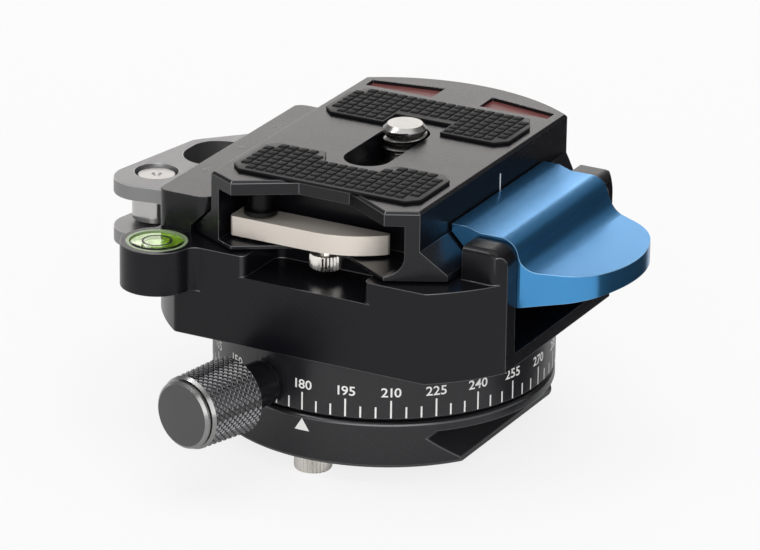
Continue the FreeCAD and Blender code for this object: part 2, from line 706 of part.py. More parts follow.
def make_base():
    """Disc with a dovetail foot below and the hub above."""
    body = new_body("base_blank")
    disc = outline(body, "base_disc", "XY_Plane", None, circle(0, 0, S.base_r))
    pad(body, "base_disc_pad", disc, S.base_top)
    roof_x = S.neck_half + S.rim_low - NECK_UP
    side = [
        (S.flange_half, -S.edge),
        (S.flange_half, S.lip),
        (S.neck_half, NECK_UP),
        (roof_x, S.rim_low),
        (S.base_r + S.edge, S.rim_low),
        (S.base_r + S.edge, -S.edge),
    ]
    grooves = outline(body, "foot_grooves", "XZ_Plane", None, side, mirrored(side, -1))
    cut(body, "foot_dovetail", grooves, S.through, both=True)
    hub = outline(body, "hub_disc", "XY_Plane", S.base_top, circle(0, 0, S.hub_r))
    pad(body, "hub_pad", hub, S.hub_top - S.base_top)
    well = outline(body, "bush_hole", "XY_Plane", None, circle(0, 0, S.bush_r))
    cut(body, "bush_well", well, S.bush_top, reverse=True)
    soften(body, "rim_edge", "Chamfer", S.edge, flat_ring(S.base_top, S.base_r))
    soften(body, "foot_edge", "Chamfer", S.edge, flat_ring(0, S.base_r))

    stop_heads = []
    stop_shanks = []
    for row, y in enumerate((-S.stop_y, S.stop_y), 1):
        stop_heads.append(rod(f"base_stop_head{row}", S.stop_r, S.stop_drop - S.edge, 0, y, 0, "down"))
        stop_heads.append(
            cone(f"base_stop_tip{row}", S.stop_r, S.stop_r - S.edge, S.edge,
                 0, y, S.edge - S.stop_drop, "down")
        )
        stop_shanks.append(rod(f"base_stop_shank{row}", S.stop_shank_r, S.stop_depth, 0, y, 0))
    stops = fused("base_stops", *stop_heads, *stop_shanks)

    spots = []
    for angle in (90, 210, 330):
        spots.append((S.retainer_pitch * cosine(angle), S.retainer_pitch * sine(angle)))
    retainer_top = S.hub_top + S.retainer_t
    heads = []
    shanks = []
    for row, (x, y) in enumerate(spots, 1):
        heads.append(
            cone(f"retainer_head{row}", S.retainer_head, S.thin_shank_r, S.retainer_t,
                 x, y, retainer_top, "down")
        )
        shanks.append(
            rod(f"retainer_shank{row}", S.thin_shank_r, S.hub_top - S.retainer_bottom,
                x, y, S.retainer_bottom)
        )
    whole = fused("retainer_screw_solids", *heads, *shanks)
    recesses = [
        hexagon(f"retainer_recess{row}", S.socket_r, S.socket_h / 2, x, y, retainer_top, "down")
        for row, (x, y) in enumerate(spots, 1)
    ]
    screws = less("retainer_screw_set", whole, *recesses)
    node(less("base_piece", body, stops, whole), "pan_base")
    node(stops, "base_stop_screws")

    disc = turned("retainer_blank", (0, S.hub_top), (S.retainer_r, S.hub_top),
                  (S.retainer_r, retainer_top), (0, retainer_top))
    node(less("retainer_piece", disc, whole), "pan_retainer")
    node(screws, "retainer_screws")


def make_bush():
    """Steel bush with the tripod thread; its outside is pressed into the base."""
    body = turned("bush_blank", (S.thread_r, 0), (S.bush_r, 0), (S.bush_r, S.bush_top),
                  (S.thread_r, S.bush_top))
    half = S.bush_slot / 2
    slot = [(-half, -S.bush_r - S.gap), (half, -S.bush_r - S.gap),
            (half, S.bush_r + S.gap), (-half, S.bush_r + S.gap)]
    cut(body, "bush_slots", outline(body, "bush_slot_sketch", "XY_Plane", None, slot),
        S.bush_slot, reverse=True)
    node(body, "thread_bush")


def make_rings():
    """Slide ring under the drum and friction washer over its floor."""
    top = DRUM_LOW - S.fit
    node(turned("ring_turned", (S.ring_in_r, S.base_top), (S.ring_out_r, S.base_top),
                (S.ring_out_r, top), (S.ring_in_r, top)), "slide_ring")
    low = S.drum_floor + S.fit
    node(turned("washer_turned", (S.washer_in_r, low), (S.washer_out_r, low),
                (S.washer_out_r, S.hub_top), (S.washer_in_r, S.hub_top)), "friction_washer")


# ----------------------------------------------------------------- turret


def make_turret_screws():
    spots = [(S.turret_x * a, S.turret_y * b, S.turret_seat) for a in (-1, 1) for b in (-1, 1)]
    screws = socket_screws("turret_set", spots, "down", S.head_r, S.head_h, S.thin_shank_r,
                           S.turret_seat - S.turret_tip, S.socket_r, S.socket_h)
    node(screws, "turret_screws")
    depth = S.body_top - S.turret_seat
    wells = [rod(f"turret_well{row}", S.well_r, depth, *spot)
             for row, spot in enumerate(spots, 1)]
    shanks = [rod(f"turret_hole{row}", S.thin_shank_r, S.turret_seat - S.turret_tip, *spot, "down")
              for row, spot in enumerate(spots, 1)]
    return fused("turret_cutter", *wells, *shanks)


def knob_placed(body):
    """Local -Y becomes the lock knob's own axis."""
    return place(body, 0, 0, S.knob_z, TURN(V(0, 0, 1), -1), -S.knob_turn)


def make_drum(turret_cutter):
    """Drum that carries the degree scale and turns on the hub."""
    bore = S.hub_r + S.fit
    body = turned(
        "drum_blank",
        (bore, DRUM_LOW), (S.drum_r - S.edge, DRUM_LOW), (S.drum_r, DRUM_LOW + S.edge),
        (S.drum_r, S.drum_top), (S.drum_well_r, S.drum_top),
        (S.drum_well_r, S.drum_floor), (bore, S.drum_floor),
    )
    bores = knob_placed(turned(
        "knob_bores",
        (0, -S.hub_r), (S.stud_r + S.fit, -S.hub_r),
        (S.stud_r + S.fit, -S.bush_shank_end), (S.bush_shank_r, -S.bush_shank_end),
        (S.bush_shank_r, -S.knob_near), (0, -S.knob_near),
        plane="XY_Plane",
    ))
    node(less("drum_piece", body, bores, turret_cutter), "scale_drum")


def make_lock():
    """Collar, knurled knob, stud and brake shoe on one radial axis."""
    hole = S.stud_r + S.fit
    node(knob_placed(turned(
        "collar_turned",
        (hole, -S.bush_shank_end), (S.bush_shank_r, -S.bush_shank_end),
        (S.bush_shank_r, -S.collar_seat - S.collar_out),
        (S.collar_r, -S.collar_seat - S.collar_out),
        (S.collar_r, S.edge - S.collar_end), (S.collar_r - S.edge, -S.collar_end),
        (hole, -S.collar_end),
        plane="XY_Plane",
    )), "knob_bush")
    cap_low = S.cap_h - S.knob_far
    band_far = cap_low + S.groove_h
    node(knob_placed(turned(
        "knob_turned",
        (S.stud_r, -S.knob_near), (S.knob_r - S.edge, -S.knob_near),
        (S.knob_r, -S.knob_near - S.edge), (S.knob_end_r, band_far + S.band_h),
        (S.band_r, band_far), (S.groove_r, band_far), (S.groove_r, cap_low), (S.cap_r, cap_low),
        (S.cap_r, S.cap_bevel - S.knob_far), (S.cap_face_r, -S.knob_far), (0, -S.knob_far),
        (0, -S.stud_far), (S.stud_r, -S.stud_far),
        plane="XY_Plane",
    )), "lock_knob")
    node(knob_placed(turned(
        "stud_turned",
        (0, -S.stud_near), (S.stud_r - S.edge, -S.stud_near),
        (S.stud_r, -S.stud_near - S.edge), (S.stud_r, -S.stud_far), (0, -S.stud_far),
        plane="XY_Plane",
    )), "knob_stud")
    node(knob_placed(turned(
        "shoe_turned",
        (0, -S.shoe_near), (S.stud_r, -S.shoe_near), (S.stud_r, S.edge - S.shoe_far),
        (S.stud_r - S.edge, -S.shoe_far), (0, -S.shoe_far),
        plane="XY_Plane",
    )), "brake_shoe")


# ------------------------------------------------------------- clamp body


def body_plan():
    """Rectangle with corners that are arcs about the pan axis."""
    front_x = leg(S.front_r, S.body_half_y)
    left_x = leg(S.left_r, S.body_half_y)
    rear_x = leg(S.rear_r, S.body_half_y)
    return [
        (-left_x, -S.body_half_y), (front_x, -S.body_half_y, ("cx", 0)),
        (S.body_half_x, -BODY_NEAR), (S.body_half_x, BODY_FAR, ("cx", 0)),
        (rear_x, S.body_half_y), (-rear_x, S.body_half_y, ("cx", 0)),
        (-S.body_half_x, BODY_FAR), (-S.body_half_x, -BODY_NEAR_LEFT, ("cx", 0)),
    ]


def boss_plan():
    """Level boss with a hollow blend to the front face and one to the corner arc."""
    x, y, r, blend = S.boss_x, S.boss_y, S.boss_r, S.boss_blend
    share = r / (r + blend)
    front_y = -S.body_half_y - blend
    front_x = x + leg(r + blend, front_y - y)
    away = root(x * x + y * y)
    far = S.left_r + blend
    along = (far * far - (r + blend) * (r + blend) + away * away) / (2 * away)
    aside = leg(far, along)
    side_x = (along * x + aside * y) / away
    side_y = (along * y - aside * x) / away
    inward = S.left_r / far
    return [
        (front_x, -S.body_half_y, ("cx", front_x)),
        (x + (front_x - x) * share, y + (front_y - y) * share, ("cx", x)),
        (x + r * x / away, y + r * y / away, ("cx", x)),
        (x + (side_x - x) * share, y + (side_y - y) * share, ("cx", side_x)),
        (side_x * inward, side_y * inward),
        (x + r, y + r),
    ]


def make_ears():
    """Two ears for the lever pin, trimmed to the plan of the body."""
    body = new_body("ears_blank")
    profile = [
        (S.ear_x, S.pocket_floor), (S.ear_x, S.ear_top),
        (S.ear_flat, S.ear_top, ("cx", S.ear_flat)), (S.body_half_x, S.ear_shoulder),
        (S.body_half_x, S.pocket_floor),
    ]
    sketch = outline(body, "ear_profile", "XZ_Plane", -S.ear_far, profile)
    pad(body, "ear_pad", sketch, S.ear_far - S.ear_near)
    ends = (number(S.ear_near), number(S.ear_far))
    low = number(S.ear_shoulder)
    soften(body, "ear_brows", "Fillet", S.ear_brow,
           lambda edge: edge.BoundBox.YLength < 0.01 and edge.BoundBox.ZMin > low - 0.01
           and min(abs(edge.CenterOfMass.y - y) for y in ends) < 0.01)
    between = [
        (S.pocket_x, S.ear_in_near), (S.base_r + S.pocket_x, S.ear_in_near),
        (S.base_r + S.pocket_x, S.ear_in_far), (S.pocket_x, S.ear_in_far),
    ]
    window = outline(body, "ear_window", "XY_Plane", S.ear_top + S.gap, between)
    cut(body, "ear_split", window, S.ear_top - S.pocket_floor + S.edge + S.gap)
    return body


def make_ear_trim():
    """Plan of the body between the ears' outer faces, with rounded corners."""
    body = new_body("ear_trim")
    near_x = leg(S.front_r, S.ear_near)
    far_x = leg(S.rear_r, S.ear_far)
    plan = [
        (0, S.ear_near), (near_x, S.ear_near, ("cx", 0)), (S.body_half_x, -BODY_NEAR),
        (S.body_half_x, BODY_FAR, ("cx", 0)), (far_x, S.ear_far), (0, S.ear_far),
    ]
    pad(body, "ear_trim_pad", outline(body, "ear_trim_plan", "XY_Plane", S.pocket_floor, plan),
        S.ear_top - S.pocket_floor + S.gap)
    corners = (number(near_x), number(far_x))
    soften(body, "ear_corners", "Fillet", S.ear_round,
           lambda edge: upright(edge)
           and min(abs(edge.CenterOfMass.x - x) for x in corners) < 0.01)
    return body


def make_clamp_body(turret_cutter, jaw_screws, bracket_screws):
    body = new_body("clamp_blank")
    pad(body, "clamp_pad", outline(body, "clamp_plan", "XY_Plane", S.drum_top, body_plan()),
        S.body_top - S.drum_top)
    front_x = number(leg(S.front_r, S.body_half_y))
    soften(body, "clamp_corners", "Fillet", S.body_round,
           lambda edge: upright(edge) and edge.CenterOfMass.y < 0
           and edge.CenterOfMass.x < front_x + 0.1)
    boss = outline(body, "boss_sketch", "XY_Plane", S.boss_low, boss_plan())
    pad(body, "boss_pad", boss, S.body_top - S.boss_low)
    vial = outline(body, "vial_disc", "XY_Plane", S.body_top, circle(S.boss_x, S.boss_y, S.vial_r))
    cut(body, "vial_hole", vial, S.body_top - S.vial_low)
    reach = S.body_half_y + S.gap
    notch = [(-S.notch_half, S.notch_wall), (S.notch_half, S.notch_wall),
             (S.notch_half, reach), (-S.notch_half, reach)]
    front_notch = [(x, -y) for x, y in notch]
    notches = outline(body, "notch_plan", "XY_Plane", S.body_top, notch, front_notch)
    cut(body, "stop_notches", notches, S.body_top - S.notch_floor)
    wall, half = number(S.notch_wall), number(S.notch_half)
    soften(body, "notch_corners", "Fillet", S.notch_round,
           lambda edge: upright(edge) and abs(abs(edge.CenterOfMass.x) - half) < 0.01
           and abs(abs(edge.CenterOfMass.y) - wall) < 0.01)
    lip = number(S.body_half_y)
    soften(body, "notch_lips", "Fillet", S.notch_lip,
           lambda edge: upright(edge) and abs(abs(edge.CenterOfMass.x) - half) < 0.01
           and abs(abs(edge.CenterOfMass.y) - lip) < 0.01)
    opening = [
        (S.pocket_x, S.ear_in_near), (S.through, S.ear_in_near),
        (S.through, S.ear_in_far), (S.pocket_x, S.ear_in_far),
    ]
    pocket = outline(body, "pocket_plan", "XY_Plane", S.body_top, opening)
    cut(body, "lever_pocket", pocket, S.body_top - S.pocket_floor)

    trim = make_ear_trim()
    whole_ears = make_ears()
    ears = doc.addObject("Part::MultiCommon", "ears")
    ears.Shapes = [whole_ears, trim]
    whole = fused("clamp_whole", body, ears)
    pin_hole = rod("pin_hole", S.pin_r, S.pin_far - S.pin_near, S.pin_x, S.pin_near, S.pin_z, "rear")
    pin_entry = rod("pin_entry", S.pin_r, S.through, S.pin_x, S.pin_far, S.pin_z, "rear")
    wells = [
        rod(f"jaw_well{row}", S.well_r, S.jaw_head_low + S.head_h - S.drum_top, S.jaw_screw_x, y,
            S.drum_top)
        for row, y in enumerate((S.jaw_screw_near, S.jaw_screw_far), 1)
    ]
    node(less("clamp_piece", whole, pin_hole, pin_entry, *wells, turret_cutter,
              jaw_screws, bracket_screws), "clamp_body")


def make_level():
    """Cup, fluid with its bubble, and clear lens of the level."""
    inner = S.vial_r - S.vial_wall
    floor = S.vial_low + S.vial_floor
    lens_low = S.body_top - S.lens_t
    cup = turned("cup_turned", (0, S.vial_low), (S.vial_r, S.vial_low), (S.vial_r, S.body_top),
                 (inner, S.body_top), (inner, floor), (0, floor))
    node(place(cup, S.boss_x, S.boss_y, 0), "level_cup")
    fluid = turned("fluid_turned", (0, floor), (inner, floor), (inner, lens_low),
                   (S.bubble_r, lens_low, ("cx", 0)), (0, lens_low - S.bubble_h))
    node(place(fluid, S.boss_x, S.boss_y, 0), "level_fluid")
    lens = turned("lens_turned", (0, lens_low), (inner, lens_low),
                  (inner, S.body_top - S.edge / 2), (inner - S.edge / 2, S.body_top),
                  (0, S.body_top))
    node(place(lens, S.boss_x, S.boss_y, 0), "level_lens")


def make_jaw_screws():
    spots = [(S.jaw_screw_x, y, S.jaw_head_low + S.head_h)
             for y in (S.jaw_screw_near, S.jaw_screw_far)]
    length = S.jaw_tip - S.jaw_head_low - S.head_h
    return node(socket_screws("jaw_set", spots, "up", S.head_r, S.head_h, S.thin_shank_r,
                              length, S.socket_r, S.socket_h), "jaw_screws")


def make_jaw(jaw_screws):
    """Fixed jaw that hooks over the plate's left flange."""
    body = new_body("jaw_blank")
    hook_z = S.body_top + S.gap + NECK_UP + S.gap / 2
    profile = [
        (-S.jaw_out, S.body_top), (-S.jaw_out, S.jaw_top - S.edge),
        (S.edge - S.jaw_out, S.jaw_top), (-JAW_IN, S.jaw_top), (-JAW_IN, hook_z),
        (-FLANGE_OUT, hook_z - FLANGE_OUT + JAW_IN), (-FLANGE_OUT, S.body_top),
    ]
    sketch = outline(body, "jaw_profile", "XZ_Plane", -S.jaw_far, profile)
    pad(body, "jaw_pad", sketch, S.jaw_far - S.jaw_near)
    out = number(S.jaw_out)
    soften(body, "jaw_corners", "Fillet", S.jaw_round,
           lambda edge: upright(edge) and abs(edge.CenterOfMass.x + out) < 0.01)
    inner = -JAW_IN
    start = inner - S.jaw_hook_round
    for name, end, way in (("near", S.jaw_near, 1), ("far", S.jaw_far, -1)):
        turn = end + S.jaw_hook_round * way
        beyond = end - S.gap * way
        corner = [(start, end, ("cx", start)), (inner, turn), (inner + S.gap, turn),
                  (inner + S.gap, beyond), (start, beyond)]
        sketch = outline(body, f"hook_{name}_plan", "XY_Plane", S.jaw_top, corner)
        cut(body, f"hook_{name}_round", sketch, S.jaw_top - S.body_top)
    node(less("jaw_piece", body, jaw_screws), "fixed_jaw")


# ---------------------------------------------------------- release lever


def make_lever():
    """Lever with the moving jaw on one side of its pin and a paddle on the other."""
    body = new_body("lever_blank")
    hook_z = S.body_top + S.gap + NECK_UP + S.gap / 2
    step_z = S.body_top - S.gap
    profile = [
        (JAW_IN, S.lever_top), (S.lever_ridge, S.lever_top), (S.lever_dip, S.lever_saddle),
        (S.lever_fall, S.lever_saddle, ("cx", S.lever_fall)),
        (S.lever_side, S.lever_side_z, ("cx", S.lever_foot)),
        (S.lever_foot, S.paddle_z), (S.paddle_tip, S.paddle_tip_z),
        (S.paddle_tip, S.paddle_low), (S.lever_root_x, S.lever_root_z),
        (S.lever_root_x - 2 * S.coil_wire, S.lever_low),
        (FLANGE_OUT, S.lever_low), (FLANGE_OUT - S.relief, S.lever_low + S.relief),
        (FLANGE_OUT - S.relief, step_z - 2 * S.relief), (FLANGE_OUT, step_z),
        (FLANGE_OUT, hook_z - FLANGE_OUT + JAW_IN), (JAW_IN, hook_z),
    ]
    sketch = outline(body, "lever_profile", "XZ_Plane", -LEVER_FAR, profile)
    pad(body, "lever_pad", sketch, LEVER_WIDE)
    half = LEVER_WIDE / 2
    corner = [
        (S.paddle_start, half + S.gap),
        (S.paddle_start, half),
        (S.paddle_break, S.paddle_break_y, ("cy", S.paddle_nose_y / 2)),
        (S.paddle_nose, S.paddle_nose_y, ("cy", 0)),
        (S.paddle_tip, 0),
        (S.paddle_tip + S.gap, 0),
        (S.paddle_tip + S.gap, half + S.gap),
    ]
    outlines = []
    for sign in (1, -1):
        outlines.append([
            (point[0], LEVER_MID + point[1] * sign,
             *(("cy", LEVER_MID + extra[1] * sign) for extra in point[2:]))
            for point in corner
        ])
    plan = outline(body, "paddle_plan", "XY_Plane", S.lever_top, *outlines)
    cut(body, "paddle_trim", plan, S.through)
    bore = rod("lever_bore", S.pin_r + S.fit, LEVER_WIDE, S.pin_x, LEVER_NEAR, S.pin_z, "rear")
    near = rod("lever_well_near", S.coil_well_r, S.coil_well, S.pin_x, LEVER_NEAR, S.pin_z, "rear")
    far = rod("lever_well_far", S.coil_well_r, S.coil_well, S.pin_x, LEVER_FAR, S.pin_z, "front")
    node(less("lever_piece", body, bore, near, far), "release_lever")


def make_lever_pin():
    node(rod("pin_rod", S.pin_r, S.pin_far - S.pin_near, S.pin_x, S.pin_near, S.pin_z, "rear"),
         "lever_pin")


def make_springs():
    """Torsion coils on the lever pin, one in each end of the lever."""
    coils = []
    for name, start, way in (("near", LEVER_NEAR, "rear"), ("far", LEVER_FAR, "front")):
        path = doc.addObject("Part::Helix", f"coil_path_{name}")
        bind(path, "Pitch", S.coil_pitch)
        bind(path, "Height", S.coil_length)
        bind(path, "Radius", S.coil_r)
        wire = doc.addObject("Part::Circle", f"coil_wire_{name}")
        bind(wire, "Radius", S.coil_wire)
        wire.Placement = FreeCAD.Placement(V(number(S.coil_r), 0, 0), TURN(V(1, 0, 0), 90))
        bind(wire, ".Placement.Base.x", S.coil_r)
        coil = doc.addObject("Part::Sweep", f"coil_{name}")
        coil.Sections = [wire]
        coil.Spine = (path, ["Edge1"])
        coil.Solid = True
        coil.Frenet = True
        shift = S.coil_wire if way == "rear" else -S.coil_wire
        coils.append(place(coil, S.pin_x, start + shift, S.pin_z, WAYS[way]))
    node(fused("coils", *coils), "lever_springs")


# ---------------------------------------------------------- strap bracket


def make_bracket_screws():
    seat = S.fork_wall - S.small_head_h
    spots = [(-seat, y, S.bracket_screw_z)
             for y in (S.bracket_screw_near, S.bracket_screw_far)]
    screws = socket_screws("bracket_set", spots, "right", S.small_head_r, S.small_head_h,
                           S.thin_shank_r, seat - S.bracket_tip, S.small_socket_r,
                           S.small_socket_h)
    return node(screws, "bracket_screws")


def make_bracket(bracket_screws):
    """Forked bracket on the left with a roller in its fork and a finger hole."""
    body = new_body("bracket_blank")
    plan = [
        (-S.body_half_x, S.bracket_root), (-S.bracket_out, S.bracket_near),
        (-S.bracket_waist, S.bracket_slope), (-S.bracket_slope_x, S.bracket_far),
        (-S.body_half_x, S.bracket_far),
    ]
    pad(body, "bracket_pad", outline(body, "bracket_plan", "XY_Plane", S.bracket_low, plan),
        S.bracket_top - S.bracket_low)
    out = number(S.bracket_out)
    waist = number(S.bracket_waist)
    soften(body, "bracket_nose", "Fillet", S.bracket_round,
           lambda edge: upright(edge) and abs(edge.CenterOfMass.x + out) < 0.01)
    soften(body, "bracket_heel", "Fillet", S.waist_round,
           lambda edge: upright(edge) and abs(edge.CenterOfMass.x + waist) < 0.01)
    turn = S.hole_round - S.hole_out
    hole = [
        (-S.hole_in, S.hole_near), (turn, S.hole_near, ("cx", turn)),
        (-S.hole_out, S.hole_near + S.hole_round), (-S.hole_out, S.hole_far - S.hole_round, ("cx", turn)),
        (turn, S.hole_far), (-S.hole_in, S.hole_far),
    ]
    cut(body, "finger_hole", outline(body, "finger_plan", "XY_Plane", S.bracket_top, hole), S.through)
    low = S.bracket_low + S.tine
    high = S.bracket_top - S.tine
    fork = [(-S.fork_wall, low), (-S.through, low), (-S.through, high), (-S.fork_wall, high)]
    sketch = outline(body, "fork_profile", "XZ_Plane", -S.fork_end, fork)
    cut(body, "fork_gap", sketch, S.through, reverse=True)
    sink = S.roller_sink + S.roller_head_t
    hole_up = rod("roller_hole", S.roller_pin_r, S.bracket_top - S.bracket_low - S.edge,
                  S.roller_x, S.roller_y, S.bracket_low + S.edge)
    seat = rod("roller_seat", S.roller_head_r + S.head_air, sink, S.roller_x, S.roller_y,
               S.bracket_top, "down")
    node(less("bracket_piece", body, hole_up, seat, bracket_screws), "strap_bracket")

    head_low = S.bracket_top - sink
    pin = turned(
        "roller_pin_turned",
        (0, S.bracket_low + S.edge), (S.roller_pin_r, S.bracket_low + S.edge),
        (S.roller_pin_r, head_low), (S.roller_head_r, head_low),
        (S.roller_head_r, head_low + S.roller_head_t - S.edge / 2),
        (S.roller_head_r - S.edge / 2, head_low + S.roller_head_t),
        (S.roller_pin_r / 2, head_low + S.roller_head_t),
        (0, head_low + S.roller_head_t / 2),
    )
    node(place(pin, S.roller_x, S.roller_y, 0), "roller_pin")
    side = S.roller_pin_r + S.fit
    roller = turned(
        "roller_turned",
        (side, low + S.gap), (S.roller_r - S.edge, low + S.gap), (S.roller_r, low + S.gap + S.edge),
        (S.roller_r, high - S.gap - S.edge), (S.roller_r - S.edge, high - S.gap),
        (side, high - S.gap),
    )
    node(place(roller, S.roller_x, S.roller_y, 0), "strap_roller")


# ----------------------------------------------------------- camera plate


def make_plate(stops, pivot, inserts):
    body = new_body("plate_blank")
    tail = leg(S.tail_r, S.flange_half) + S.tail_y
    half = [
        (S.waist_x, S.waist_y), (S.tip_x, S.tip_y), (S.flange_half, FLANGE_NEAR),
    ]
    plan = half + [(S.flange_half, tail, ("cx", 0)), (0, S.tail_y + S.tail_r, ("cx", 0)),
                   (-S.flange_half, tail)] + mirrored(half, -1)[::-1]
    pad(body, "plate_pad", outline(body, "plate_plan", "XY_Plane", PLATE_LOW, plan),
        S.plate_top - PLATE_LOW)
    reach = S.flange_half + S.gap
    side = [
        (S.neck_half, S.plate_top + S.gap), (S.neck_half, PLATE_NECK),
        (S.flange_half, PLATE_LOW + S.lip), (reach, PLATE_LOW + S.lip),
        (reach, S.plate_top + S.gap),
    ]
    sides = outline(body, "plate_sides", "XZ_Plane", None, side, mirrored(side, -1))
    cut(body, "plate_dovetail", sides, 2 * S.through, both=True)
    top = number(S.plate_top)
    soften(body, "plate_brow", "Chamfer", S.edge,
           lambda edge: edge.BoundBox.ZLength < 0.01 and abs(edge.CenterOfMass.z - top) < 0.01)
    bay = [
        (S.bay_left, S.bay_low), (S.bay_right, S.bay_low),
        (S.bay_right, S.bay_high), (S.bay_left, S.bay_high),
    ]
    cut(body, "bay", outline(body, "bay_profile", "XZ_Plane", -S.bay_back, bay), S.through,
        reverse=True)
    right, low = number(S.bay_right), number(S.bay_low)
    soften(body, "bay_corner", "Fillet", S.bay_round,
           lambda edge: abs(edge.BoundBox.XMin - right) < 0.01
           and abs(edge.BoundBox.XMax - right) < 0.01
           and abs(edge.BoundBox.ZMin - low) < 0.01 and abs(edge.BoundBox.ZMax - low) < 0.01)
    straight = S.slot_reach - S.slot_half
    slot = [
        (S.slot_half, -straight), (S.slot_half, straight, ("cy", straight)),
        (0, S.slot_reach, ("cy", straight)), (-S.slot_half, straight),
        (-S.slot_half, -straight, ("cy", -straight)), (0, -S.slot_reach, ("cy", -straight)),
    ]
    cut(body, "screw_slot", outline(body, "slot_plan", "XY_Plane", S.plate_top, slot), S.through)
    wide = S.channel_half
    end = straight + wide
    channel = [
        (wide, -straight), (wide, straight, ("cy", straight)),
        (0, end, ("cy", straight)), (-wide, straight),
        (-wide, -straight, ("cy", -straight)), (0, -end, ("cy", -straight)),
    ]
    cut(body, "screw_channel", outline(body, "channel_plan", "XY_Plane", PLATE_LOW, channel),
        S.channel_top - PLATE_LOW, reverse=True)
    node(less("plate_piece", body, stops, pivot, inserts), "camera_plate")


def make_plate_stops():
    solids = []
    ends = ((S.plate_stop_near, S.bay_low), (S.plate_stop_far, S.plate_stop_tip))
    for row, (y, tip) in enumerate(ends, 1):
        solids.append(cone(f"plate_stop_tip{row}", S.plate_stop_r - S.edge, S.plate_stop_r, S.edge,
                           0, y, S.plate_stop_low))
        solids.append(rod(f"plate_stop_head{row}", S.plate_stop_r,
                          PLATE_LOW - S.plate_stop_low - S.edge, 0, y, S.plate_stop_low + S.edge))
        solids.append(rod(f"plate_stop_shank{row}", S.thin_shank_r, tip - PLATE_LOW, 0, y, PLATE_LOW))
    return node(fused("plate_stops", *solids), "plate_stop_screws")


def make_pivot():
    flange = S.bar_high + S.gap
    low = (PLATE_LOW + S.bay_low) / 2
    pin = turned(
        "pivot_turned",
        (0, low), (S.pivot_r, low), (S.pivot_r, flange), (S.pivot_flange_r, flange),
        (S.pivot_flange_r, flange + S.pivot_flange_t), (S.pivot_r, flange + S.pivot_flange_t),
        (S.pivot_r, S.bay_high + S.pivot_sink), (0, S.bay_high + S.pivot_sink),
    )
    return node(place(pin, S.pivot_x, S.pivot_y, 0), "bar_pivot")


def make_bar():
    """Flat bar that swings out of the front bay about its upright pivot."""
    body = new_body("bar_blank")
    plan = [
        (S.bar_left, S.bar_front), (S.bar_bend, S.bar_front, ("cx", S.bar_bend)),
        (S.bar_right, S.bar_back), (S.bar_left, S.bar_back),
    ]
    pad(body, "bar_pad", outline(body, "bar_plan", "XY_Plane", S.bar_low, plan),
        S.bar_high - S.bar_low)
    ends = (number(S.bar_left), number(S.bar_right))
    soften(body, "bar_corners", "Fillet", S.bar_round,
           lambda edge: upright(edge) and min(abs(edge.CenterOfMass.x - x) for x in ends) < 0.01)
    hole = outline(body, "bar_eye", "XY_Plane", S.bar_high,
                   circle(S.pivot_x, S.pivot_y, S.pivot_r + S.fit))
    cut(body, "bar_hole", hole, S.through)
    node(body, "strap_bar")


def make_pads():
    """Rubber pads before and behind the slot, each with a bite for the screw."""
    cut_c = S.pad_corner
    front = new_body("front_pad_body")
    plan = [
        (cut_c - S.pad_half, S.front_pad_near), (S.pad_half - cut_c, S.front_pad_near),
        (S.pad_half, S.front_pad_near + cut_c), (S.pad_half, S.front_pad_far - cut_c),
        (S.pad_half - cut_c, S.front_pad_far), (S.bite_half + cut_c, S.front_pad_far),
        (S.bite_half, S.front_bite), (-S.bite_half, S.front_bite),
        (-S.bite_half - cut_c, S.front_pad_far), (cut_c - S.pad_half, S.front_pad_far),
        (-S.pad_half, S.front_pad_far - cut_c), (-S.pad_half, S.front_pad_near + cut_c),
    ]
    pad(front, "front_pad_pad", outline(front, "front_pad_plan", "XY_Plane", S.plate_top, plan),
        S.pad_t)
    node(front, "front_pad")
    rear = new_body("rear_pad_body")
    plan = [
        (cut_c - S.pad_half, S.rear_pad_near), (-S.rear_bite_half, S.rear_pad_near),
        (-S.rear_bite_half, S.rear_bite), (S.rear_bite_half, S.rear_bite),
        (S.rear_bite_half, S.rear_pad_near), (S.pad_half - cut_c, S.rear_pad_near),
        (S.pad_half, S.rear_pad_near + cut_c), (S.pad_half, S.rear_pad_far - 2 * cut_c),
        (S.pad_half - cut_c, S.rear_pad_far), (cut_c - S.pad_half, S.rear_pad_far),
        (-S.pad_half, S.rear_pad_far - 2 * cut_c), (-S.pad_half, S.rear_pad_near + cut_c),
    ]
    pad(rear, "rear_pad_pad", outline(rear, "rear_pad_plan", "XY_Plane", S.plate_top, plan),
        S.pad_t)
    node(rear, "rear_pad")


def insert_plan(sign):
    """Corner insert whose rear side follows the rounded end."""
    return mirrored([
        (S.insert_in, S.insert_near), (S.insert_out, S.insert_near),
        (S.insert_out, S.insert_corner), (S.insert_in, S.insert_far),
    ], sign)


def make_inserts():
    """Inserts in shallow wells; the well is cut right up to the plate's top."""
    wells = new_body("insert_wells")
    depth = S.insert_sink + S.insert_t
    plans = [insert_plan(sign) for sign in (1, -1)]
    wells.AllowCompound = True
    sketch = outline(wells, "insert_well_plan", "XY_Plane", S.plate_top - depth, *plans)
    pad(wells, "insert_well_pad", sketch, depth + S.gap)
    body = new_body("insert_body")
    body.AllowCompound = True
    sketch = outline(body, "insert_plan", "XY_Plane", S.plate_top - depth, *plans)
    pad(body, "insert_pad", sketch, S.insert_t)
    node(body, "corner_inserts")
    return wells


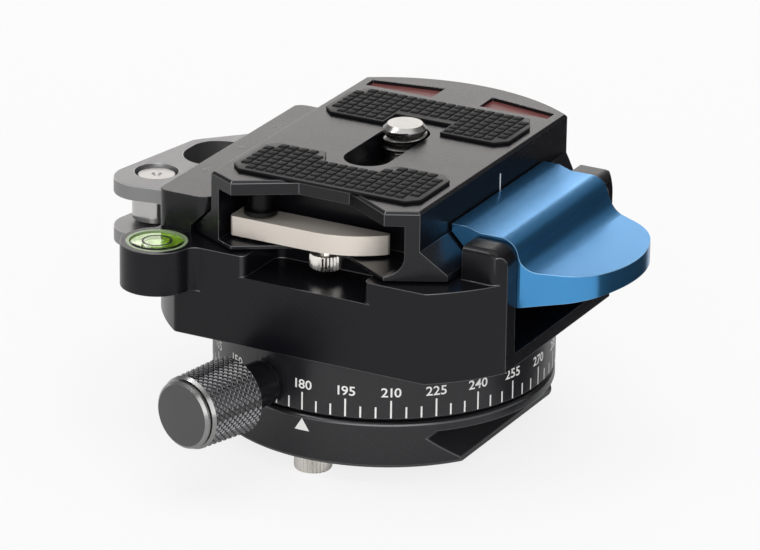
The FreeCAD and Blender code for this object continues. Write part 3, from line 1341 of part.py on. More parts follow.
def make_camera_screw():
    """Captive camera screw, the clip it turns in and the washer that slides in the channel."""
    tip = S.screw_r - S.screw_flat_r
    body = turned(
        "screw_turned",
        (0, S.screw_head_low), (S.screw_head_r - S.edge, S.screw_head_low),
        (S.screw_head_r, S.screw_head_low + S.edge), (S.screw_head_r, S.screw_head_high),
        (S.screw_neck_r, S.screw_head_high), (S.screw_neck_r, S.screw_thread_low - S.edge),
        (S.screw_r, S.screw_thread_low + S.edge), (S.screw_r, S.screw_end - tip),
        (S.screw_flat_r, S.screw_end), (0, S.screw_end),
    )
    half = S.screw_slot / 2
    reach = S.screw_head_r + S.gap
    slot = [(-reach, -half), (reach, -half), (reach, half), (-reach, half)]
    cut(body, "driver_slot", outline(body, "driver_plan", "XY_Plane", S.screw_head_low, slot),
        S.screw_slot_h, reverse=True)
    node(place(body, 0, S.screw_y, 0), "camera_screw")
    bore = S.screw_neck_r + S.fit
    low = S.screw_head_high + S.fit
    clip = turned("clip_turned", (bore, low), (S.clip_r, low), (S.clip_r, low + S.clip_t),
                  (bore, low + S.clip_t))
    node(place(clip, 0, S.screw_y, 0), "screw_clip")
    disc = turned("disc_turned", (bore, S.disc_low), (S.disc_r, S.disc_low),
                  (S.disc_r, S.disc_high), (bore, S.disc_high))
    node(place(disc, 0, S.screw_y, 0), "screw_washer")


make_base()
make_bush()
make_rings()
turret_cutter = make_turret_screws()
make_drum(turret_cutter)
make_lock()
jaw_screws = make_jaw_screws()
bracket_screws = make_bracket_screws()
make_clamp_body(turret_cutter, jaw_screws, bracket_screws)
make_level()
make_jaw(jaw_screws)
make_lever()
make_lever_pin()
make_springs()
make_bracket(bracket_screws)
stops = make_plate_stops()
pivot = make_pivot()
wells = make_inserts()
make_plate(stops, pivot, wells)
make_bar()
make_pads()
make_camera_screw()
doc.recompute()

for thing in doc.Objects:
    if "Invalid" in thing.State or "Error" in thing.State:
        raise RuntimeError(f"{thing.Name} is in state {thing.State}")
for thing in NODES:
    if thing.Shape.isNull() or not thing.Shape.isValid():
        raise RuntimeError(f"{thing.Label} has no valid shape")
for thing in NODES:
    thing.Shape.exportStep(f"parts/{thing.Label}.step")
print(f"{len(NODES)} pieces written")
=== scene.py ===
"""Dressing of a panoramic tripod head with a quick-release clamp and its plate."""
import math

import bmesh
import bpy
from mathutils import Matrix, Vector


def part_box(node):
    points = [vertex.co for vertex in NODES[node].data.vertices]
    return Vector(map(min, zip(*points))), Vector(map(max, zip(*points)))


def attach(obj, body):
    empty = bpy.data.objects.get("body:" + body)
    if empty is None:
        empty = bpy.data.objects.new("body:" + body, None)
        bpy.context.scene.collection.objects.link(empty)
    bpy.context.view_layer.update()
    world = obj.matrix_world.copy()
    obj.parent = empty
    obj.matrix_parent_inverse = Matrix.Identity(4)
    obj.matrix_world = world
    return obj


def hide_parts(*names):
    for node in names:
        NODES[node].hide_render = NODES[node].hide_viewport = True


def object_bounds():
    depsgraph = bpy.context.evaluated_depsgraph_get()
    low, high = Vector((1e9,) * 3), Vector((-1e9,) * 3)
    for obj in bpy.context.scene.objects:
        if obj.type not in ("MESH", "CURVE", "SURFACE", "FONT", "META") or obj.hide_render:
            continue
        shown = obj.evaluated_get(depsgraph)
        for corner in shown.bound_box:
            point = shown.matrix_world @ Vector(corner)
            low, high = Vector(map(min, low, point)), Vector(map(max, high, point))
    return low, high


bl_info = {
    "name": "Panoramic tripod head",
    "version": (1, 0, 0),
    "blender": (4, 5, 0),
    "location": "View3D > Sidebar > Tripod Head",
    "description": "Finishes, knurling, pads, scale and level of a panoramic tripod head",
    "category": "Object",
}

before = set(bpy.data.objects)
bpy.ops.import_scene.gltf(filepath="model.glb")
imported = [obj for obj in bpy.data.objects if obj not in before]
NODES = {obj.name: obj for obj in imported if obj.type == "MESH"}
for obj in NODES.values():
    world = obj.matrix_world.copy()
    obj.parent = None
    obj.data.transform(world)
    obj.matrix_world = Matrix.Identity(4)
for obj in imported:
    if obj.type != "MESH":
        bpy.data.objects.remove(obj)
CAD_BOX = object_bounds()
MM = 0.001
FULL = 2 * math.pi

# Relief of a finish whose bump is 1, in metres.
BUMP_DEPTH = 0.02 * MM

# Places in the solids, in millimetres and degrees.
KNOB_HEIGHT = 10.05
KNOB_TURN = -14
SCREW_Y = 5.2
DRUM_RADIUS = 23.515
DRUM_TICK_FOOT = 7.3
DRUM_TICK_STEP = 5
DRUM_NUMBER_HEIGHT = 11.0
DRUM_NUMBER_STEP = 15
POINTER_HEIGHT = 4.92
PLATE_LINE = (15.715, 2.9, 33.72)
JAW_TOP = 33.012
JAW_NUMBER_X = -22.4
JAW_TICK_X = -20.6
JAW_MARKS = (("10", -9.7), ("0", 0.0), ("10", 10.0))
LEVEL_PLACE = (-22.1, -23.9)
ROLLER_PLACE = (-33.3, -4.6)
SPRING_X = 22.6

# Lamps: name, place, width and height in metres, power in watts and tint.
LAMPS = (
    ("rear_softbox", (-0.22, 0.4, 0.175), (0.4, 0.14), 0.32, (1.0, 0.965, 0.935)),
    ("top_softbox", (0.05, 0.0, 0.8), (0.8, 0.8), 2.5, (1.0, 1.0, 1.0)),
    ("front_fill", (0.4, -0.75, 0.3), (1.0, 0.7), 4.2, (1.0, 1.0, 1.0)),
    ("edge_strip", (-0.3, -0.25, 0.6), (0.5, 0.1), 1.6, (1.0, 1.0, 1.0)),
)
LAMP_AIM = (0, 0, 0.02)
ONLY_IN_REFLECTIONS = ("edge_strip",)

# Share of the floor that glows, as the camera sees it and as reflections do.
FLOOR_GLOW = 0.82
MIRRORED_GLOW = 0.1

# Light of the world, and how what reflections see of it falls from the horizon upwards.
WORLD_LIGHT = 0.45
WORLD_FALL = {"From Min": 0.02, "From Max": 0.4, "To Min": 1, "To Max": 0.3}

# Dark card that only reflections see, in metres: centre, size and how its rear edge rises.
CARD_PLACE = (0.165, 0.115)
CARD_SIZE = (0.26, 0.23)
CARD_RISE = (0, 0.02, 0.16)

# Camera: degrees round the object, upwards and rolled, then metres and millimetres.
CAMERA_TURN, CAMERA_RISE, CAMERA_ROLL = 27.51, 21.48, 0.84
CAMERA_DISTANCE = 0.7304
CAMERA_LENS, CAMERA_SENSOR = 253.7, 36
CAMERA_AIM_HEIGHT, CAMERA_AIM_LEFT = 18.56, 0.709


# ------------------------------------------------------------ settings


def length(name, description, default):
    return bpy.props.FloatProperty(
        name=name, description=description, default=default * MM, unit="LENGTH", precision=6)


def colour(name, description, *default):
    return bpy.props.FloatVectorProperty(
        name=name, description=description, default=default, subtype="COLOR", min=0, max=1)


class HeadSizes(bpy.types.PropertyGroup):
    """Sizes of the details that the solids leave out."""

    edge: length("Edge", "Width of the softened edges", 0.17)
    pad_edge: length("Pad edge", "Width of the softened edges of the pads", 0.12)
    digit: length("Digits", "Height of the numbers on the drum", 1.27)
    tick: length("Tick", "Width of the scale's ticks", 0.24)
    long_tick: length("Long tick", "Length of a numbered tick", 2.56)
    short_tick: length("Short tick", "Length of a plain tick", 1.6)
    nub_pitch: length("Nub pitch", "Spacing of the nubs on the pads", 1.5)
    nub_width: length("Nub width", "Width of a nub at its foot", 1.26)
    nub_height: length("Nub height", "Height of the nubs on the pads", 0.22)
    knurl_depth: length("Knurl depth", "Depth of the knob's knurling", 0.2)
    knurl_inset: length("Knurl inset", "Inset of each diamond's face", 0.16)
    thread_pitch: length("Thread pitch", "Pitch of the camera screw", 1.27)
    knurl_count: bpy.props.IntProperty(
        name="Knurl count", description="Diamonds round the lock knob", default=36, min=8)
    groove_count: bpy.props.IntProperty(
        name="Groove count", description="Grooves round a stop screw", default=30, min=8)


class HeadColours(bpy.types.PropertyGroup):
    """Colours of the finishes."""

    black: colour("Black", "Black anodised aluminium", 0.005, 0.005, 0.0068)
    blasted: colour("Blasted", "Blasted black base and drum", 0.011, 0.011, 0.013)
    grey: colour("Grey", "Bare grey aluminium of the bracket", 0.27, 0.27, 0.275)
    gunmetal: colour("Gunmetal", "Grey anodised knob", 0.11, 0.11, 0.112)
    knurl: colour("Knurl", "Knurled grip of the knob", 0.15, 0.15, 0.155)
    rim: colour("Rim", "Turned rims of the knob", 0.3, 0.298, 0.296)
    blue: colour("Blue", "Blue anodised lever", 0.072, 0.31, 0.64)
    nickel: colour("Nickel", "Nickel-plated bar", 0.76, 0.7, 0.63)
    plating: colour("Plating", "Bright plating of the stop screws", 0.9, 0.87, 0.82)
    steel: colour("Steel", "Plain steel", 0.52, 0.51, 0.5)
    screw: colour("Screw", "Steel of the camera screw", 0.34, 0.333, 0.32)
    # The pivot is near black as painted shade, for the shade it sits in under the plate.
    pivot: colour("Pivot", "Blackened pivot of the bar", 0.004, 0.004, 0.004)
    brass: colour("Brass", "Brake shoe", 0.55, 0.38, 0.14)
    plastic: colour("Plastic", "Slide ring and washer", 0.62, 0.6, 0.55)
    # The five edge colours are lighter than their pieces: a painted highlight along the small
    # rounded edges.
    edge_black: colour("Black edge", "Worn edges of black pieces", 0.12, 0.12, 0.125)
    edge_body: colour("Body edge", "Worn edges of the clamp body", 0.16, 0.16, 0.165)
    edge_grey: colour("Grey edge", "Worn edges of the bracket", 0.45, 0.45, 0.45)
    edge_blue: colour("Blue edge", "Worn edges of the lever", 0.3, 0.55, 0.85)
    edge_nickel: colour("Nickel edge", "Worn edges of the bar", 0.85, 0.78, 0.7)
    rubber: colour("Rubber", "Rubber of the pads", 0.008, 0.008, 0.009)
    # The groove colour is lighter than the rubber: painted highlight lines between the dark nubs.
    groove: colour("Groove", "Dusty ground between the nubs", 0.05, 0.049, 0.048)
    red: colour("Red", "Red inserts", 0.19, 0.055, 0.05)
    fluid: colour("Fluid", "Fluid of the level", 0.42, 0.72, 0.03)
    cup: colour("Cup", "Cup under the fluid", 0.3, 0.4, 0.22)
    lens: colour("Lens", "Clear lens of the level", 0.96, 1.0, 0.93)
    ink: colour("Ink", "Printed ring of the level", 0.01, 0.01, 0.01)
    paint: colour("Paint", "White of the printed marks", 0.86, 0.86, 0.84)
    faint: colour("Faint paint", "Worn marks of the jaw", 0.3, 0.3, 0.3)
    floor: colour("Floor", "Pale floor", 0.9, 0.9, 0.9)
    card: colour("Card", "Dark card seen in reflections", 0.003, 0.003, 0.003)


def sizes():
    return bpy.context.scene.tripod_head_sizes


def colours():
    return bpy.context.scene.tripod_head_colours


# ------------------------------------------------------- modelling helpers


def only(piece):
    """Select one piece and make it active."""
    if bpy.context.object and bpy.context.object.mode != "OBJECT":
        bpy.ops.object.mode_set(mode="OBJECT")
    bpy.ops.object.select_all(action="DESELECT")
    piece.select_set(True)
    bpy.context.view_layer.objects.active = piece


def edit(piece, kind="FACE"):
    """Enter edit mode with everything selected."""
    only(piece)
    bpy.ops.object.mode_set(mode="EDIT")
    bpy.ops.mesh.select_mode(type=kind)
    bpy.ops.mesh.select_all(action="SELECT")


def leave():
    bpy.ops.object.mode_set(mode="OBJECT")


def choose(piece, items, test):
    """In edit mode, select the vertices, edges or faces that pass the test."""
    bpy.ops.mesh.select_all(action="DESELECT")
    mesh = bmesh.from_edit_mesh(piece.data)
    for item in getattr(mesh, items):
        if test(item):
            item.select_set(True)
    bmesh.update_edit_mesh(piece.data)


def modify(piece, kind, **settings):
    """Add a modifier and apply it."""
    only(piece)
    modifier = piece.modifiers.new(kind.title(), kind)
    for key, value in settings.items():
        setattr(modifier, key, value)
    bpy.ops.object.modifier_apply(modifier=modifier.name)


def added(name):
    """Name the primitive that was just added."""
    piece = bpy.context.object
    piece.name = name
    piece.data.name = name
    return piece


def merged_copy(name, node):
    """Copy of a CAD node with its double points merged and its flat faces made whole."""
    copy = bpy.data.objects.new(name, NODES[node].data.copy())
    bpy.context.scene.collection.objects.link(copy)
    edit(copy)
    bpy.ops.mesh.remove_doubles(threshold=2e-6)
    bpy.ops.mesh.dissolve_limited(angle_limit=math.radians(0.4))
    leave()
    return copy


def joined(parts):
    """Join the parts into the first of them."""
    only(parts[0])
    for part in parts:
        part.select_set(True)
    if len(parts) > 1:
        bpy.ops.object.join()
    return parts[0]


def turned(name, profile, sides):
    """Closed turned shape about local Z, from a profile of (radius, height) in millimetres."""
    first, rest = profile[0], profile[1:]
    bpy.ops.object.select_all(action="DESELECT")
    bpy.ops.mesh.primitive_circle_add(
        vertices=sides, radius=first[0] * MM, fill_type="NGON", location=(0, 0, 0))
    piece = added(name)
    edit(piece)
    bpy.ops.transform.translate(value=(0, 0, first[1] * MM))
    last = first
    for radius, height in rest:
        bpy.ops.mesh.extrude_region_move(
            TRANSFORM_OT_translate={"value": (0, 0, (height - last[1]) * MM)})
        share = radius / last[0]
        bpy.ops.transform.resize(value=(share, share, 1), center_override=(0, 0, height * MM))
        last = (radius, height)
    bpy.ops.mesh.select_all(action="SELECT")
    bpy.ops.mesh.normals_make_consistent(inside=False)
    leave()
    return piece


def dress(piece, *materials):
    """Give a piece its materials, the first of them on every face."""
    piece.data.materials.clear()
    for material in materials:
        piece.data.materials.append(material)


def settle(piece, body, material, replaced=(), smooth=30, tidy_normals=False):
    """Put a piece's place into its mesh, dress it and let it ride its body.

    A piece that is dressed already has None as its material.
    """
    only(piece)
    bpy.ops.object.transform_apply(location=True, rotation=True, scale=True)
    if smooth:
        bpy.ops.object.shade_smooth_by_angle(angle=math.radians(smooth))
    if tidy_normals:
        modify(piece, "WEIGHTED_NORMAL", keep_sharp=True, weight=80)
    if material:
        dress(piece, material)
    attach(piece, body)
    if replaced:
        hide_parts(*replaced)
    return piece


# --------------------------------------------------------- finish helpers


def new_group(name, inputs, outputs):
    """Node group with named inputs (name, kind, default) and outputs (name, kind)."""
    tree = bpy.data.node_groups.new(name, "ShaderNodeTree")
    for label, kind, default in inputs:
        socket = tree.interface.new_socket(label, in_out="INPUT", socket_type=f"NodeSocket{kind}")
        if default is not None:
            socket.default_value = default
    for label, kind in outputs:
        tree.interface.new_socket(label, in_out="OUTPUT", socket_type=f"NodeSocket{kind}")
    start = tree.nodes.new("NodeGroupInput")
    end = tree.nodes.new("NodeGroupOutput")
    return tree, start, end


def add(tree, kind, **settings):
    """Add a shader node, with some of its settings."""
    node = tree.nodes.new(f"ShaderNode{kind}")
    for key, value in settings.items():
        setattr(node, key, value)
    return node


def math_node(tree, operation, first, second=None, third=None):
    """Math node whose inputs are numbers or sockets."""
    node = add(tree, "Math", operation=operation)
    for socket, value in zip(node.inputs, (first, second, third)):
        if value is None:
            continue
        if isinstance(value, (int, float)):
            socket.default_value = value
        else:
            tree.links.new(value, socket)
    return node.outputs[0]


def grain_group():
    """Fine blasted grain: shifts the tone and roughness a little and gives a height."""
    tree, start, end = new_group(
        "blasted_grain",
        [("Vector", "Vector", None), ("Colour", "Color", (0.5, 0.5, 0.5, 1)),
         ("Roughness", "Float", 0.4), ("Grain", "Float", 0.0001), ("Tone", "Float", 0.1),
         ("Drift", "Float", 0.05)],
        [("Colour", "Color"), ("Roughness", "Float"), ("Height", "Float")])
    link = tree.links.new
    fine = add(tree, "TexNoise")
    fine.inputs["Detail"].default_value = 2
    link(start.outputs["Vector"], fine.inputs["Vector"])
    link(math_node(tree, "DIVIDE", 1, start.outputs["Grain"]), fine.inputs["Scale"])
    broad = add(tree, "TexNoise")
    broad.inputs["Detail"].default_value = 3
    broad.inputs["Scale"].default_value = 160
    link(start.outputs["Vector"], broad.inputs["Vector"])
    centred = math_node(tree, "SUBTRACT", fine.outputs[0], 0.5)
    tone = math_node(tree, "MULTIPLY_ADD", centred, start.outputs["Tone"], 1.0)
    shade = add(tree, "HueSaturation")
    link(tone, shade.inputs["Value"])
    link(start.outputs["Colour"], shade.inputs["Color"])
    link(shade.outputs[0], end.inputs["Colour"])
    cloud = math_node(tree, "SUBTRACT", broad.outputs[0], 0.5)
    link(math_node(tree, "MULTIPLY_ADD", cloud, start.outputs["Drift"],
                   start.outputs["Roughness"]), end.inputs["Roughness"])
    link(fine.outputs[0], end.inputs["Height"])
    return tree


def rings_group():
    """Fine turning marks round the local Z axis of the vector."""
    tree, start, end = new_group(
        "turning_marks",
        [("Vector", "Vector", None), ("Pitch", "Float", 0.0001)],
        [("Height", "Float"), ("Shift", "Float")])
    link = tree.links.new
    split = add(tree, "SeparateXYZ")
    link(start.outputs["Vector"], split.inputs[0])
    square = math_node(tree, "MULTIPLY", split.outputs[0], split.outputs[0])
    radius = math_node(tree, "SQRT", math_node(
        tree, "MULTIPLY_ADD", split.outputs[1], split.outputs[1], square))
    count = math_node(tree, "DIVIDE", radius, start.outputs["Pitch"])
    noise = add(tree, "TexNoise", noise_dimensions="1D")
    noise.inputs["Scale"].default_value = 1
    noise.inputs["Detail"].default_value = 3
    link(count, noise.inputs["W"])
    link(noise.outputs[0], end.inputs["Height"])
    link(math_node(tree, "SUBTRACT", noise.outputs[0], 0.5), end.inputs["Shift"])
    return tree


def streaks_group():
    """Brushed streaks that run along the local X axis of the vector."""
    tree, start, end = new_group(
        "brushed_streaks",
        [("Vector", "Vector", None), ("Fine", "Float", 9000.0), ("Long", "Float", 120.0)],
        [("Height", "Float"), ("Shift", "Float")])
    link = tree.links.new
    scale = add(tree, "CombineXYZ")
    link(start.outputs["Long"], scale.inputs[0])
    link(start.outputs["Fine"], scale.inputs[1])
    link(start.outputs["Fine"], scale.inputs[2])
    stretch = add(tree, "VectorMath", operation="MULTIPLY")
    link(start.outputs["Vector"], stretch.inputs[0])
    link(scale.outputs[0], stretch.inputs[1])
    noise = add(tree, "TexNoise")
    noise.inputs["Scale"].default_value = 1
    noise.inputs["Detail"].default_value = 2
    link(stretch.outputs[0], noise.inputs["Vector"])
    link(noise.outputs[0], end.inputs["Height"])
    link(math_node(tree, "SUBTRACT", noise.outputs[0], 0.5), end.inputs["Shift"])
    return tree


GROUPS = {}


def group(name):
    """Shared node group, made when it is first asked for."""
    if name not in GROUPS:
        makers = {"grain": grain_group, "rings": rings_group, "streaks": streaks_group}
        GROUPS[name] = makers[name]()
    return GROUPS[name]


def place_group(tree, name, vector, **values):
    """Use a shared node group in a material."""
    node = tree.nodes.new("ShaderNodeGroup")
    node.node_tree = group(name)
    tree.links.new(vector, node.inputs["Vector"])
    for key, value in values.items():
        node.inputs[key].default_value = value
    return node


def finish(name, base, rough, metal=0.0, grain=0.1, tone=0.25, drift=0.06, bump=0.1,
           marks=None, centre=(0, 0, 0), turn=(0, 0, 0), pitch=0.12, cut=0.3, fixed=()):
    """Procedural finish: grain everywhere, and turning marks or streaks where named.

    Grain, centre and pitch are in millimetres and turn is in degrees. Fixed gives
    values of other inputs of the shader.
    """
    name = f"{name}_finish"
    if name in bpy.data.materials:
        return bpy.data.materials[name]
    material = bpy.data.materials.new(name)
    material.use_nodes = True
    tree = material.node_tree
    shader = tree.nodes["Principled BSDF"]
    link = tree.links.new
    coordinates = add(tree, "TexCoord").outputs["Object"]
    speck = place_group(tree, "grain", coordinates, Colour=(*base, 1), Roughness=rough,
                        Grain=grain * MM, Tone=tone, Drift=drift)
    link(speck.outputs["Colour"], shader.inputs["Base Color"])
    roughness, height = speck.outputs["Roughness"], speck.outputs["Height"]
    shader.inputs["Metallic"].default_value = metal
    if marks:
        move = add(tree, "Mapping", vector_type="TEXTURE")
        move.inputs["Location"].default_value = [value * MM for value in centre]
        move.inputs["Rotation"].default_value = [math.radians(angle) for angle in turn]
        link(coordinates, move.inputs["Vector"])
        if marks == "rings":
            lines = place_group(tree, "rings", move.outputs[0], Pitch=pitch * MM)
        else:
            lines = place_group(tree, "streaks", move.outputs[0], Fine=1 / (pitch * MM))
        height = math_node(tree, "MULTIPLY_ADD", lines.outputs["Height"],
                           cut / max(bump, 0.01), height)
        roughness = math_node(tree, "MULTIPLY_ADD", lines.outputs["Shift"], 0.18, roughness)
    link(roughness, shader.inputs["Roughness"])
    relief = add(tree, "Bump")
    relief.inputs["Strength"].default_value = 1.0
    relief.inputs["Distance"].default_value = bump * BUMP_DEPTH
    link(height, relief.inputs["Height"])
    link(relief.outputs[0], shader.inputs["Normal"])
    for socket, value in fixed:
        shader.inputs[socket].default_value = value
    return material


def black_satin():
    return finish("black_satin", colours().black, 0.26, grain=0.18, tone=0.6, drift=0.1, bump=0.35,
                  fixed=(("IOR", 1.34),))


def black_blasted():
    return finish("black_blasted", colours().blasted, 0.32, grain=0.26, tone=1.3, drift=0.14,
                  bump=0.9, fixed=(("IOR", 1.5),))


def black_plain():
    return finish("black_plate", colours().black, 0.27, grain=0.14, tone=0.4, drift=0.05, bump=0.2,
                  fixed=(("IOR", 1.42),))


def grey_brushed():
    return finish("grey_brushed", colours().grey, 0.4, 0.9, grain=0.08, tone=0.12, drift=0.08,
                  bump=0.15, marks="streaks", turn=(0, 0, 90), pitch=0.16, cut=0.25)


def gunmetal():
    return finish("gunmetal", colours().rim, 0.24, 0.95, grain=0.12, tone=0.2, bump=0.25,
                  marks="rings", centre=(0, 0, KNOB_HEIGHT), turn=(90, 0, KNOB_TURN),
                  pitch=0.09, cut=0.15)


def knurled_metal():
    return finish("knurled_metal", colours().knurl, 0.17, 0.95, grain=0.1, tone=0.3, bump=0.2)


def knob_face():
    return finish("knob_face", colours().gunmetal, 0.36, 0.85, grain=0.1, tone=0.2, bump=0.15,
                  marks="rings", centre=(0, 0, KNOB_HEIGHT), turn=(90, 0, KNOB_TURN),
                  pitch=0.09, cut=0.2)


def blue_satin():
    return finish("blue_anodised", colours().blue, 0.24, 0.92, grain=0.08, tone=0.16, drift=0.05,
                  bump=0.18, fixed=(("Coat Weight", 0.08), ("Coat Roughness", 0.28)))


def nickel_brushed():
    return finish("nickel_brushed", colours().nickel, 0.46, 0.62, grain=0.1, tone=0.1, drift=0.1,
                  bump=0.1, marks="streaks", pitch=0.1, cut=0.2)


def edge_finish(node, tone):
    """Lighter finish of a piece's small rounded edges: a painted highlight along them."""
    return finish(f"edge_{node}", getattr(colours(), tone), 0.28, 0.9,
                  grain=0.1, tone=0.2, bump=0.2)


def nickel_bright():
    return finish("nickel_bright", colours().plating, 0.18, 1.0, grain=0.1, tone=0.12, bump=0.1)


def steel(name="steel", x=0.0, y=0.0, rough=0.28, tint=None):
    return finish(name, tint or colours().steel, rough, 1.0, grain=0.1, tone=0.1, bump=0.08,
                  marks="rings", centre=(x, y, 0), pitch=0.12, cut=0.2)


def rubber():
    return finish("rubber", colours().rubber, 0.55, grain=0.09, tone=0.5, drift=0.15, bump=0.6,
                  fixed=(("IOR", 1.22), ("Sheen Weight", 0.03), ("Sheen Roughness", 0.5)))


def red_insert():
    return finish("red_insert", colours().red, 0.45, grain=0.12, tone=0.25, bump=0.4)


def white_paint():
    return finish("white_paint", colours().paint, 0.5, grain=0.08, tone=0.08, bump=0.1)


# --------------------------------------------------------------- operators


class SofterMetal(bpy.types.Operator):
    """Milled and turned pieces with the small rounded edges that tumbling and anodising leave"""

    bl_idname = "tripodhead.softer_metal"
    bl_label = "Milled pieces"

    def execute(self, context):
        edge = sizes().edge
        black = "edge_black"
        # Piece, node, body, finish, slot, share of the edge width, colour of the edges (a painted
        # highlight).
        rows = (
            ("base_milled", "pan_base", "base", black_blasted, "black_base", 1.0, black),
            ("drum_turned", "scale_drum", "turret", black_blasted, "black_drum", 1.0, black),
            ("clamp_milled", "clamp_body", "turret", black_satin, "black_body", 0.55,
             "edge_body"),
            ("jaw_milled", "fixed_jaw", "turret", black_plain, "black_jaw", 1.7, black),
            ("plate_milled", "camera_plate", "plate", black_plain, "black_plate", 1.3, black),
            ("collar_turned", "knob_bush", "turret", black_satin, "black_collar", 1.0, black),
            ("bracket_milled", "strap_bracket", "turret", grey_brushed, "grey_bracket", 1.3,
             "edge_grey"),
            ("lever_milled", "release_lever", "lever", blue_satin, "blue_lever", 2.0,
             "edge_blue"),
            ("bar_milled", "strap_bar", "bar", nickel_brushed, "bar_steel", 1.6,
             "edge_nickel"),
        )
        for name, node, body, material, slot, share, tone in rows:
            piece = merged_copy(name, node)
            dress(piece, material(), edge_finish(node, tone))
            # The bevel's faces take the second material, the painted edge highlight.
            # Clamping would take the body's bevels down to its shortest edge.
            modify(piece, "BEVEL", width=edge * share, segments=2, limit_method="ANGLE",
                   angle_limit=math.radians(28), material=1,
                   use_clamp_overlap=node != "clamp_body")
            settle(piece, body, None, (node,), tidy_normals=True)
        return {"FINISHED"}


class KnurledKnob(bpy.types.Operator):
    """Lock knob with diamond knurling, a plain band and a faced end"""

    bl_idname = "tripodhead.knurled_knob"
    bl_label = "Lock knob"

    def execute(self, context):
        count, depth = sizes().knurl_count, sizes().knurl_depth / MM
        # The grip's ends along the knob's axis and its radii there, in millimetres.
        low, high, wide, narrow = 30.2, 38.7, 5.38, 5.05
        core = turned("lock_knob_dressed", (
            (1.76, 29.85), (4.95, 29.85), (wide - depth, 30.15), (narrow - depth, high - 0.05),
            (narrow - 0.01, high - 0.04), (4.72, 39.13), (4.2, 39.15), (4.2, 39.35),
            (4.55, 39.36), (4.66, 39.46), (4.65, 39.76), (4.26, 40.1), (4.15, 40.13),
            (0.6, 40.13)), 72)
        rows = 9
        step = (high - low) / rows
        bpy.ops.object.select_all(action="DESELECT")
        bpy.ops.mesh.primitive_circle_add(
            vertices=count, radius=(wide - depth) * MM, location=(0, 0, 0))
        knurl = added("knurling")
        edit(knurl, "EDGE")
        bpy.ops.transform.translate(value=(0, 0, low * MM))
        last = wide - depth
        for row in range(1, rows + 1):
            radius = wide - depth + (narrow - wide) * row / rows
            height = (low + step * row) * MM
            bpy.ops.mesh.extrude_region_move(TRANSFORM_OT_translate={"value": (0, 0, step * MM)})
            bpy.ops.transform.resize(
                value=(radius / last, radius / last, 1), center_override=(0, 0, height))
            last = radius
        bpy.ops.mesh.select_all(action="SELECT")
        bpy.ops.mesh.normals_make_consistent(inside=False)
        bpy.ops.mesh.select_mode(type="FACE")
        bpy.ops.mesh.select_all(action="SELECT")
        bpy.ops.mesh.poke()
        straight = step * MM * 1.02 / 2
        choose(knurl, "edges", lambda edge: len(edge.link_faces) == 2 and (
            abs(edge.verts[0].co.z - edge.verts[1].co.z) < 1e-6
            or abs(edge.verts[0].co.z - edge.verts[1].co.z) > straight * 1.5))
        bpy.ops.mesh.dissolve_edges(use_verts=False)
        bpy.ops.mesh.select_mode(type="FACE")
        bpy.ops.mesh.select_all(action="SELECT")
        bpy.ops.mesh.inset(
            thickness=sizes().knurl_inset, depth=depth * 0.95 * MM, use_individual=True)
        leave()
        knob = joined([core, knurl])
        turn = math.radians(KNOB_TURN)
        knob.rotation_euler = (math.radians(90), 0, turn)
        knob.location = (0, 0, KNOB_HEIGHT * MM)
        settle(knob, "knob", knurled_metal(), ("lock_knob",), smooth=22)
        face = Vector((math.sin(turn), -math.cos(turn), 0))
        centre = Vector((0, 0, KNOB_HEIGHT * MM))
        knob.data.materials.append(knob_face())
        knob.data.materials.append(gunmetal())
        for polygon in knob.data.polygons:
            along = (polygon.center - centre).dot(face) / MM
            if polygon.normal.dot(face) > 0.9 and along > 40:
                polygon.material_index = 1
            elif along > high or along < low:
                polygon.material_index = 2
        return {"FINISHED"}


class StopScrews(bpy.types.Operator):
    """Stop screws with straight knurled heads, under the base and under the plate"""

    bl_idname = "tripodhead.stop_screws"
    bl_label = "Stop screws"

    def execute(self, context):
        count = sizes().groove_count
        # Node, radius and length of the head, then y, z and shank of each screw.
        spots = {
            "base": ("base_stop_screws", 2.6, 2.35, (-20.2, 0, 4.2), (20.2, 0, 4.2)),
            "plate": ("plate_stop_screws", 2.35, 2.15, (-17, 27.7, 0.4), (24, 27.7, 4.2)),
        }
        for body, (node, radius, reach, *places) in spots.items():
            parts = []
            for y, z, shank in places:
                screw = turned("screw", (
                    (1.2, -shank), (1.2, 0.0), (radius - 0.5, 0.0), (radius - 0.15, 0.05),
                    (radius, 0.2), (radius, reach - 0.35), (radius - 0.15, reach - 0.14),
                    (radius - 0.45, reach - 0.02), (0.5, reach)), 2 * count)
                edit(screw, "VERT")
                choose(screw, "verts", lambda vertex: abs(
                    math.hypot(vertex.co.x, vertex.co.y) - radius * MM) < 1e-6
                    and round(math.atan2(vertex.co.y, vertex.co.x) * count * 2 / FULL) % 2 == 0)
                bpy.ops.transform.resize(value=(0.9, 0.9, 1), center_override=(0, 0, 0))
                leave()
                screw.rotation_euler = (math.pi, 0, 0)
                screw.location = (0, y * MM, z * MM)
                bpy.ops.object.transform_apply(location=True, rotation=True, scale=True)
                parts.append(screw)
            piece = joined(parts)
            piece.name = f"{body}_stops_knurled"
            settle(piece, body, nickel_bright(), (node,), smooth=30)
        return {"FINISHED"}


